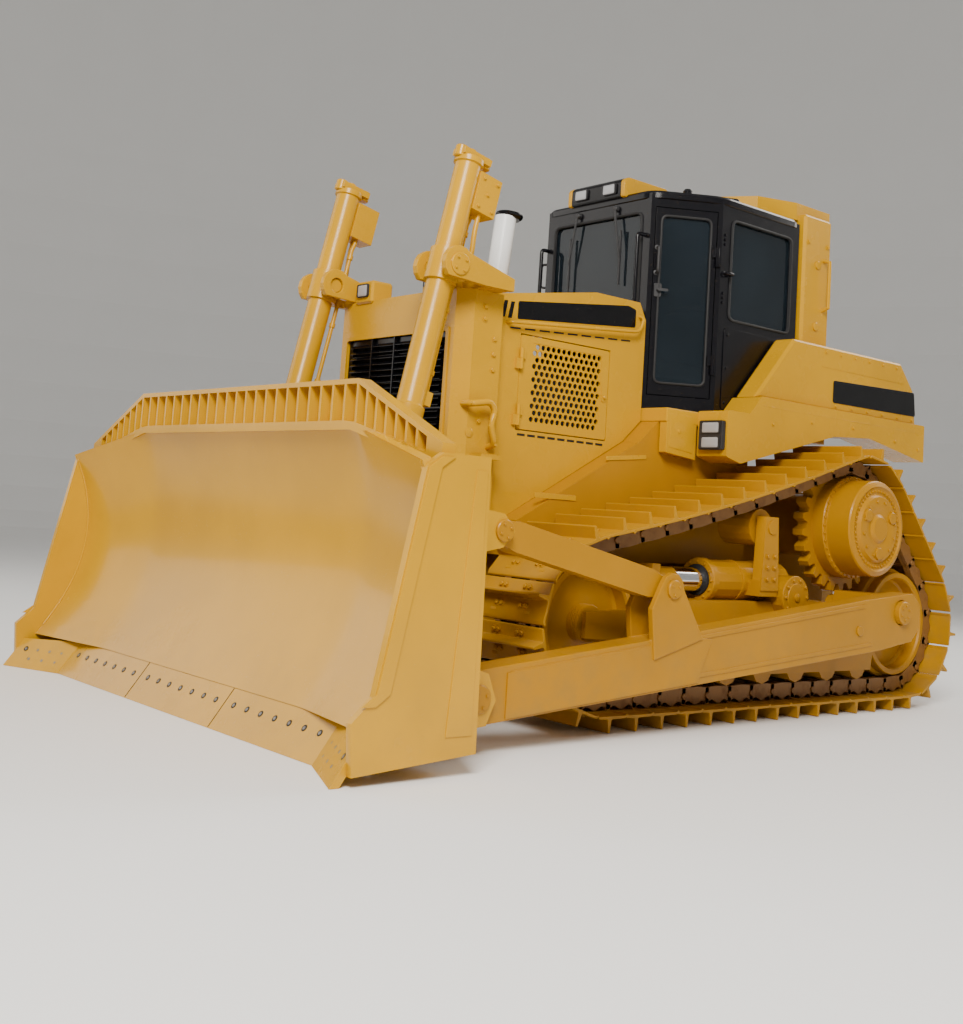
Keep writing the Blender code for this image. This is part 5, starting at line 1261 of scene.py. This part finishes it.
roof = softened(CAB_TOP, 0.09, 6)
loops = [lift(shrunk(roof, inset), z, "Z") for inset, z in
         ((-0.004, 3.700), (-0.012, 3.706), (-0.012, 3.744), (0.004, 3.762), (0.060, 3.772),
          (0.30, 3.778))]
piece("cab_roof_cap", [skin(loops)], BLACK)
LAMP_Y = -0.420
box_line = softened([(LAMP_Y, 3.742), (LAMP_Y, 3.870), (LAMP_Y + 0.040, 3.900), (0.060, 3.900),
                      (0.115, 3.779), (0.110, 3.742)], 0.02)
piece("lamp_box_middle", [slab(box_line, -0.262, 0.262)], GLOSS_BLACK,
      bevel=0.003, replaces=("cab_lamp_box",))
ends = [slab(box_line, low, high) for low, high in ((-0.302, -0.263), (0.263, 0.302))]
piece("lamp_box_ends", ends, PAINT, bevel=0.006)
knob = lathe([(0, 0.030), (0.020, 0.030), (0.024, 0.016), (0.045, 0.016), (0.050, 0.034),
              (0.075, 0.036), (0.090, 0.024), (0.094, 0.0)], (0.520, 0.050, 3.772), (0, 0, 1), 24)
bar, foot = grip([(0.60, 0.04, 0.0), (0.60, 0.04, 0.040), (0.78, 0.34, 0.040),
                  (0.78, 0.34, 0.0)], 0.010)
piece("cab_roof_knob", [knob, (bar + np.array([0.0, 0.0, 3.760]), foot)], BLACK)
lower = both([on_wall("side", slab(rectangle((0.07, 2.17), (0.90, 2.78), 0.03, 6), 0.0, 0.006,
                                   "Z")),
              on_wall("side", bolts([(r, z, 0.006) for r in (0.11, 0.86)
                                     for z in (2.22, 2.48, 2.73)],
                                    (0, 0, 1), 0.010, 0.008))])
piece("cab_lower_panels", lower, BLACK, bevel=0.002)
print("roof and panels set")

# %% [markdown]
# ## Lift cylinders
# A hydraulic cylinder is turned work: a welded tube, a thicker gland at the lower end and a
# cap above, hung in a yoke by a trunnion band. One profile of distance and radius gives the
# barrel, hollow so that the chromed rod slides in it. Pipes and a valve block ride on top.

# %% Places beside a cylinder
YOKE_Y, YOKE_Z, CYL_X = -2.400, 2.800, 0.676
CYL_A = np.array([0.0, 0.20601, 0.97855])      # up the cylinder
CYL_B = np.array([0.0, 0.97855, -0.20601])     # back from it, level with the hood
BARREL = [(0.74, 0), (0.74, 0.066), (-0.94, 0.066), (-0.94, 0.0456), (-1.01, 0.0456),
          (-1.01, 0.095), (-1.0, 0.099), (-0.92, 0.099), (-0.912, 0.088), (-0.905, 0.085),
          (-0.11, 0.085), (-0.105, 0.105), (0.105, 0.105), (0.11, 0.085), (0.695, 0.085),
          (0.702, 0.098), (0.737, 0.098), (0.742, 0.092), (0.742, 0)]


def by_cylinder(x, along, back=0.0):
    """A place beside the left cylinder: across, up along its axis, and back from it."""
    return np.array([CYL_X + x, YOKE_Y, YOKE_Z]) + CYL_A * along + CYL_B * back


def cylinder_block(low, high):
    """A box in the cylinder's own axes: (x, along, back) from corner to corner."""
    points, faces = block(low, high)
    return (np.array([CYL_X, YOKE_Y, YOKE_Z]) + points[:, :1] * [1.0, 0.0, 0.0]
            + points[:, 1:2] * CYL_A + points[:, 2:] * CYL_B), faces


print("cylinder's profile:", len(BARREL), "points")

# %% Barrels, rods and pipes
# each pipe: its points (x, along, back), its radius and the radius of its bends
PIPES = ((((-0.030, 0.450, 0.135), (-0.030, 0.380, 0.135), (-0.030, 0.340, 0.125),
           (-0.030, -0.780, 0.125), (-0.020, -0.850, 0.110)), 0.015, 0.04),
         (((0.030, 0.440, 0.150), (0.030, 0.300, 0.150), (0.030, 0.150, 0.170),
           (0.010, 0.060, 0.170)), 0.017, 0.05))
for hand in ("left", "right"):
    origin = by_cylinder(0, 0)
    barrel = [lathe(BARREL, origin, CYL_A, 64),
              lathe([(0.770, 0.034), (0.800, 0.034), (0.806, 0.028), (0.806, 0.0)], origin,
                    CYL_A, 32)]
    barrel += [rod(by_cylinder(0.100, 0), by_cylinder(0.150, 0), 0.048, 32, 0.003),
               rod(by_cylinder(-0.100, 0), by_cylinder(-0.150, 0), 0.048, 32, 0.003)]
    barrel.append(cylinder_block((-0.075, 0.415, 0.060), (0.075, 0.675, 0.245)))
    barrel.append(cylinder_block((-0.062, 0.737, -0.095), (0.062, 0.782, 0.135)))
    barrel += [rod(by_cylinder(x, 0.722, b), by_cylinder(x, 0.798, b), 0.042, 28, 0.006)
               for x, b in ((0.0, -0.078), (0.0, 0.122))]
    barrel.append(cylinder_block((-0.045, -0.890, 0.070), (0.045, -0.800, 0.125)))
    gland = bolts(ring_places(by_cylinder(0, -1.010), -CYL_A, 0.072, 8), -CYL_A, 0.009, 0.012)
    head = bolts([by_cylinder(x, 0.782, b) for x in (-0.035, 0.035) for b in (0.0, 0.070)], CYL_A,
                 0.011, 0.012)
    block_bolts = bolts([by_cylinder(0.075, a, b) for a in (0.450, 0.640) for b in (0.095, 0.210)]
                        + [by_cylinder(0.075, 0.545, 0.150)], (1, 0, 0), 0.012, 0.012)
    piece(f"lift_barrel_tube_{hand}", handed(barrel + [gland, head, block_bolts], hand),
          PAINT, f"lift_barrel_{hand}", 0.002, (f"lift_barrel_{hand}",))
    pipes = [rail([by_cylinder(*point) for point in run], radius, turn, 14, (1.0, 0.0, 0.1))
             for run, radius, turn in PIPES]
    collars = [rod(by_cylinder(-0.030, a, 0.125), by_cylinder(-0.030, a + 0.03, 0.125), 0.022, 16)
               for a in (0.26, -0.26, -0.68)]
    piece(f"lift_barrel_pipes_{hand}", handed(pipes + collars, hand), PAINT,
          f"lift_barrel_{hand}")
    wiper_ring = lathe([(-1.010, 0.046), (-1.010, 0.058), (-1.022, 0.058), (-1.026, 0.052),
                        (-1.026, 0.046)], origin, CYL_A, 40)
    piece(f"lift_rod_seal_{hand}", handed([wiper_ring], hand), RUBBER, f"lift_barrel_{hand}")
    shaft = lathe([(-2.30, 0), (-2.30, 0.045), (-0.470, 0.045), (-0.470, 0)], origin, CYL_A, 48)
    eye_at = by_cylinder(0, -2.330)
    eye = [lathe([(-0.045, 0.040), (-0.045, 0.086), (-0.041, 0.090), (0.041, 0.090), (0.045, 0.086),
                  (0.045, 0.040)], eye_at, (1, 0, 0), 40),
           lathe([(-2.262, 0), (-2.262, 0.050), (-2.200, 0.055), (-2.190, 0.050), (-2.190, 0)],
                 origin, CYL_A, 40)]
    piece(f"lift_rod_shaft_{hand}", handed([shaft], hand), CHROME, f"lift_rod_{hand}",
          0.0, (f"lift_rod_{hand}",))
    piece(f"lift_rod_eye_{hand}", handed(eye, hand), PAINT, f"lift_rod_{hand}",
          0.002)
    cheeks = [button((CYL_X + 0.167, YOKE_Y, YOKE_Z), (1, 0, 0), 0.072, 0.008, 0.012, 0.066, 32),
              bolts(ring_places((CYL_X + 0.179, YOKE_Y, YOKE_Z), (1, 0, 0), 0.048, 4, 0.6),
                    (1, 0, 0), 0.010, 0.010),
              bolts([(CYL_X + s * 0.145, y, 2.760) for s in (-1, 1) for y in (-2.11, -1.99)],
                    (0, 0, 1), 0.013, 0.012)]
    piece(f"yoke_covers_{hand}", handed(cheeks, hand), PAINT, bevel=0.001)
print("cylinders turned")

# %% [markdown]
# ## The exhaust stack
# The stack is turned work too: a wide foot, a sloped shoulder and a thinner tube with an open
# end. Stacked cylinders could do it, but one profile says all its widths, and the flared cap
# is a second profile along the same leaning axis.

# %% Exhaust stack
lean = np.array([0.0, 0.12, 1.07])
lean /= np.linalg.norm(lean)
STACK_FOOT = np.array([0.0, -1.440, 2.400])
stack = [lathe([(0.0, 0.0), (0.0, 0.110), (0.310, 0.110), (0.330, 0.104), (0.345, 0.078),
                (1.040, 0.078), (1.040, 0.070), (0.99, 0.070), (0.99, 0.0)], STACK_FOOT, lean, 56)]
piece("stack_tube", stack, WHITE, replaces=("exhaust_stack",))
CAP_FOOT = STACK_FOOT + np.array([0.0, 0.030, 0.0])
cap = [lathe([(1.030, 0.070), (1.030, 0.080), (1.046, 0.098), (1.060, 0.102), (1.070, 0.098),
              (1.070, 0.078), (1.050, 0.070)], CAP_FOOT, lean, 48)]
piece("stack_cap", cap, GLOSS_BLACK)
print("stack turned")

# %% [markdown]
# ## Roll frame and tank
# The roll frame is bolted down, and the tank is filled through ribbed caps. A rib could be
# bump, but the caps stand against the sky, so their outline itself is a wavy circle.

# %% Roll frame fittings
frame_bits = []
for y in (1.08, 1.44):
    face = -1.0 if y < 1.2 else 1.0
    frame_bits.append(bolts([(x, y, z) for x in (0.70, 0.81) for z in (2.26, 2.36)],
                            (0, face, 0), 0.018, 0.016))
frame_bits.append(bolts([(0.87, y, z) for y in (1.13, 1.39) for z in (2.24, 2.36, 3.62)],
                        (1, 0, 0), 0.016, 0.014))
for z in (2.95, 3.45):
    frame_bits.append(button((0.870, 1.26, z), (1, 0, 0), 0.034, 0.010, 0.014, 0.028, 32))
piece("rops_bolts", both(frame_bits), PAINT)
caps = []
for x, y, z in ((0.780, 1.900, 2.770), (-0.780, 1.900, 2.770), (0.300, 2.050, 2.770)):
    ribs = 0.066 + 0.003 * np.cos(np.arange(120) * 2 * np.pi / 6)
    outline = np.array([x, y]) + round_of(1.0, 120) * ribs[:, None]
    caps.append(slab(outline, z + 0.012, z + 0.044, "Z"))
    caps.append(lathe([(0.0, 0.072), (0.012, 0.072), (0.014, 0.060)], (x, y, z), (0, 0, 1), 40))
    caps.append(lathe([(0.044, 0.060), (0.050, 0.052), (0.052, 0.0)], (x, y, z), (0, 0, 1), 40))
piece("tank_caps", caps, PLASTIC)
tank_plate = softened([(1.262, 2.510), (2.425, 2.545), (2.452, 2.345), (1.262, 2.335)], 0.02)
piece("tank_side_panels", both([slab(tank_plate, 1.0600, 1.0640)]), GLOSS_BLACK,
      bevel=0.001)
tank_bolts = [bolts([(1.060, y, 2.720) for y in np.linspace(1.15, 2.15, 6)]
                    + [(1.060, y, 2.310) for y in np.linspace(1.30, 2.40, 6)], (1, 0, 0),
                    0.011, 0.010),
              slab(rectangle((1.10, 2.60), (2.26, 2.612), 0.003), 1.0598, 1.0630)]
piece("tank_bolts", both(tank_bolts), PAINT)
print("frame and tank dressed")

# %% [markdown]
# ## Sills
# Two raised strips stiffen each sill. They are thin slabs with softened corners.

# %% Sill bands
SILL_X = 0.780
BANDS = (rectangle((-1.60, 1.405), (-1.22, 1.440)),
         [(-0.95, 1.700), (-0.55, 1.740), (-0.55, 1.770), (-0.95, 1.730)])
bands = [slab(softened(plan, 0.006), SILL_X, 0.786) for plan in BANDS]
piece("sill_bands", both(bands), PAINT, bevel=0.002)
print("sills dressed")

# %% [markdown]
# ## Fender plates with their lamps
# Each fender is a plate box beside the cab. It starts behind the step, and its upright front
# carries two stacked work lamps in a black housing, so the box is drawn anew here as one
# outline in the side plane, carried straight across X.

# %% Fender plates
FENDER_LOW_X, FENDER_HIGH_X, FENDER_FRONT = 0.8603, 1.130, -0.100
outline = [(FENDER_FRONT, 1.800), (0.060, 1.760), (1.200, 2.060), (1.680, 2.090), (2.490, 1.960),
           (2.490, 2.270), (0.280, 2.270), (0.150, 2.130), (FENDER_FRONT, 2.130)]
for side, hand in HANDS:
    low, high = sorted((side * FENDER_LOW_X, side * FENDER_HIGH_X))
    shell = slab(softened(outline, 0.012, 3), low, high)
    seam = [slab(rectangle((0.300, 2.20), (2.40, 2.206)), side * 1.1296, side * 1.1312),
            bolts([(side * 1.130, y, z) for y, z in ((0.42, 2.08), (0.90, 2.14), (1.45, 2.15),
                                                    (2.05, 2.10), (2.40, 2.06))],
                  (side, 0, 0), 0.012, 0.010)]
    piece(f"fender_plate_{hand}", [shell, *seam], PAINT, bevel=0.004,
          replaces=(f"fender_{hand}",))
    unit = slab(rectangle((0.905, 1.845), (1.115, 2.055), 0.014), FENDER_FRONT + 0.001,
                FENDER_FRONT - 0.040, "Y")
    piece(f"fender_lamp_housing_{hand}", handed([unit], hand), PLASTIC, bevel=0.003)
    skirt = slab(softened([(-0.430, 1.800), (-0.110, 1.770), (-0.110, 2.119),
                           (-0.430, 2.119)], 0.008),
                 *sorted((side * 0.790, side * 0.858)))
    latch = [button((side * 0.858, -0.300, 1.960), (side, 0, 0), 0.016, 0.006, 0.008, 0.010, 20),
             slab([(-0.400, 1.840), (-0.150, 1.815), (-0.150, 2.080), (-0.400, 2.080)],
                  side * 0.857, side * 0.861)]
    piece(f"step_skirt_{hand}", [skirt, *latch], PAINT, bevel=0.002)
print("fenders drawn")

# %% [markdown]
# ## The seat
# Foam under cloth is never flat: it crowns in the middle, pulls in between its corners and
# dips along its sewn channels. One surface of two parameters says all of that. A section is
# a superellipse, which closes at both ends as its size falls to nothing.

# %% Crowned cushions
def cushion(low, high, channels=(), rows=36, sides=56, pinch=0.05, dip=0.010):
    """x, y, z = middle + half * superellipse(angle) * (1 - |s|^5)^(1/5), pulled in by
    pinch * (1 - s * s) at the sides and dipped by a narrow bell at each channel."""
    low, high = np.array(low, float), np.array(high, float)
    middle, half = (low + high) / 2, (high - low) / 2
    s = np.sin(np.linspace(-0.5, 0.5, rows) * math.pi)[:, None] * 0.9995
    angle = np.linspace(0, 2 * np.pi, sides, endpoint=False)[None, :]
    size = (1 - np.abs(s) ** 5) ** 0.2
    across = np.sign(np.cos(angle)) * np.abs(np.cos(angle)) ** 0.42
    rise = np.sign(np.sin(angle)) * np.abs(np.sin(angle)) ** 0.55
    bell = sum((np.exp(-((across - c) / 0.035) ** 2) for c in channels), np.zeros_like(across))
    x = middle[0] + half[0] * across * size * (1 - pinch * (1 - s * s) * np.abs(rise))
    z = middle[2] + half[2] * rise * size - dip * bell * np.sign(rise) * size
    y = middle[1] + half[1] * np.repeat(s, sides, 1)
    return skin(np.stack([x, y, z], -1))


def reclined(shape, pivot, angle):
    """A shape turned about X at a pivot (y, z)."""
    points, faces = shape
    c, s = math.cos(angle), math.sin(angle)
    flat = points[:, 1:] - pivot
    turned = np.stack([flat[:, 0] * c - flat[:, 1] * s, flat[:, 0] * s + flat[:, 1] * c], 1) + pivot
    return np.column_stack([points[:, 0], turned]), faces


SEAT_FLOOR = 2.161
pleats = [skin([lift(rectangle((-0.19 + inset, 0.26 + inset), (0.19 - inset, 0.69 - inset),
                               0.03, 6), SEAT_FLOOR + z, "Z")
                for inset, z in [(0.0, 0.0)] + [(0.02 * (k % 2), 0.02 + 0.028 * k)
                                                for k in range(9)]])]
rails_under = [block((x - 0.02, 0.22, SEAT_FLOOR + 0.250), (x + 0.02, 0.72, SEAT_FLOOR + 0.285))
               for x in (-0.17, 0.17)]
piece("seat_base", pleats + rails_under, RUBBER, replaces=("seat",), bevel=0.003)
parts = {"seat_cushion": cushion((-0.265, 0.19, SEAT_FLOOR + 0.285),
                                 (0.265, 0.72, SEAT_FLOOR + 0.435), (-0.55, 0.55)),
         "seat_back": reclined(cushion((-0.25, SEAT_FLOOR + 0.42, -0.79), (0.25, SEAT_FLOOR + 0.90,
                                       -0.66), (-0.55, 0.55)), (0.0, 0.0), math.pi / 2),
         "seat_headrest": reclined(cushion((-0.14, SEAT_FLOOR + 0.93, -0.775),
                                           (0.14, SEAT_FLOOR + 1.11, -0.675)), (0.0, 0.0),
                                   math.pi / 2)}
for name, shape in parts.items():
    piece(name, [shape], CLOTH, angle=60.0)
print("seat cushions:", len(parts))

# %% [markdown]
# ## Camera, floor and light
# The camera stands where the photographer stood, off the machine's front left corner and at
# chest height. It was found by matching known corners of the machine, so its small roll and
# shift are set as numbers. A wide pale floor that sweeps up all round, and three soft lights,
# are plain on purpose: the paint should tell its own story.

# %% Camera
WIDE, TALL, SENSOR = 963, 1024, 36.0      # the picture in pixels, the sensor in millimetres
FOCAL, MIDDLE_X, MIDDLE_Y = 1250.9, 454.8, 399.7      # fitted, in pixels
EYE = np.array([6.765, -6.567, 1.250])
YAW, PITCH_UP, ROLL = (math.radians(a) for a in (140.933, 5.301, 3.932))
ahead = np.array([math.cos(PITCH_UP) * math.cos(YAW), math.cos(PITCH_UP) * math.sin(YAW),
                  math.sin(PITCH_UP)])
level = np.cross(ahead, (0.0, 0.0, 1.0))
level /= np.linalg.norm(level)
upward = np.cross(level, ahead)
right = math.cos(ROLL) * level + math.sin(ROLL) * upward
top = math.cos(ROLL) * upward - math.sin(ROLL) * level

camera = bpy.data.objects.new("camera", bpy.data.cameras.new("camera"))
bpy.context.scene.collection.objects.link(camera)
camera.matrix_world = Matrix([[*row] + [0.0] for row in np.stack([right, top, -ahead], 1)]
                             + [[0.0, 0.0, 0.0, 1.0]])
camera.location = EYE
camera.data.sensor_width = SENSOR
camera.data.lens = FOCAL * SENSOR / TALL
camera.data.shift_x = (WIDE / 2 - MIDDLE_X) / TALL
camera.data.shift_y = -(TALL / 2 - MIDDLE_Y) / TALL
camera.data.clip_end = 200.0
bpy.context.scene.camera = camera
print("camera at", [round(float(v), 3) for v in EYE])

# %% Floor
def floor_material():
    """A pale studio floor: nearly even, with the faintest clouding."""
    f = Finish("studio floor", (0.90, 0.90, 0.89), 0.7)
    f.set("Base Color", f.mix(f.noise(0.6, 3.0), (0.88, 0.88, 0.87), (0.91, 0.91, 0.90)))
    return f.material


FLAT_R, CURVE_R, FLOOR_SIDES = 26.0, 14.0, 64
turn = np.linspace(0, 2 * np.pi, FLOOR_SIDES, endpoint=False)
sweep = np.linspace(0, math.pi / 2, 12)
run = np.concatenate([[0.5, 8.0, 16.0], FLAT_R + CURVE_R * np.sin(sweep), [FLAT_R + CURVE_R]])
rise = np.concatenate([[0.0, 0.0, 0.0], CURVE_R * (1 - np.cos(sweep)), [30.0]]) - 0.001
bowl = np.stack([run[:, None] * np.cos(turn), run[:, None] * np.sin(turn),
                 np.repeat(rise[:, None], FLOOR_SIDES, 1)], -1)
floor_points, floor_faces = skin(bowl, caps=False)
floor_faces.append(list(range(FLOOR_SIDES))[::-1])
floor_mesh = bpy.data.meshes.new("studio_floor")
floor_mesh.from_pydata(floor_points, [], floor_faces)
floor_mesh.materials.append(floor_material())
floor = bpy.data.objects.new("studio_floor", floor_mesh)
bpy.context.scene.collection.objects.link(floor)
print("floor radius:", FLAT_R + CURVE_R)

# %% Three soft lights and the world
def soft_light(name, place, target, size, watts):
    """A square area lamp that faces its target."""
    data = bpy.data.lights.new(name, "AREA")
    data.size = size
    data.energy = watts
    data.color = (1.0, 0.96, 0.90)
    lamp = bpy.data.objects.new(name, data)
    lamp.location = place
    lamp.rotation_euler = (Vector(target) - Vector(place)).to_track_quat("-Z", "Y").to_euler()
    bpy.context.scene.collection.objects.link(lamp)


soft_light("key", (9.0, -9.0, 10.0), (0.0, 0.0, 1.2), 5.0, 3000.0)
soft_light("fill", (-9.0, -7.0, 6.0), (0.0, 0.0, 1.2), 8.0, 350.0)
soft_light("rim", (2.0, 11.0, 9.0), (0.0, 0.0, 1.5), 7.0, 900.0)
world = bpy.data.worlds.new("studio")
world.use_nodes = True
world.node_tree.nodes["Background"].inputs["Color"].default_value = (0.95, 0.93, 0.90, 1.0)
world.node_tree.nodes["Background"].inputs["Strength"].default_value = 0.36
bpy.context.scene.world = world
print("lights:", len(bpy.data.lights))
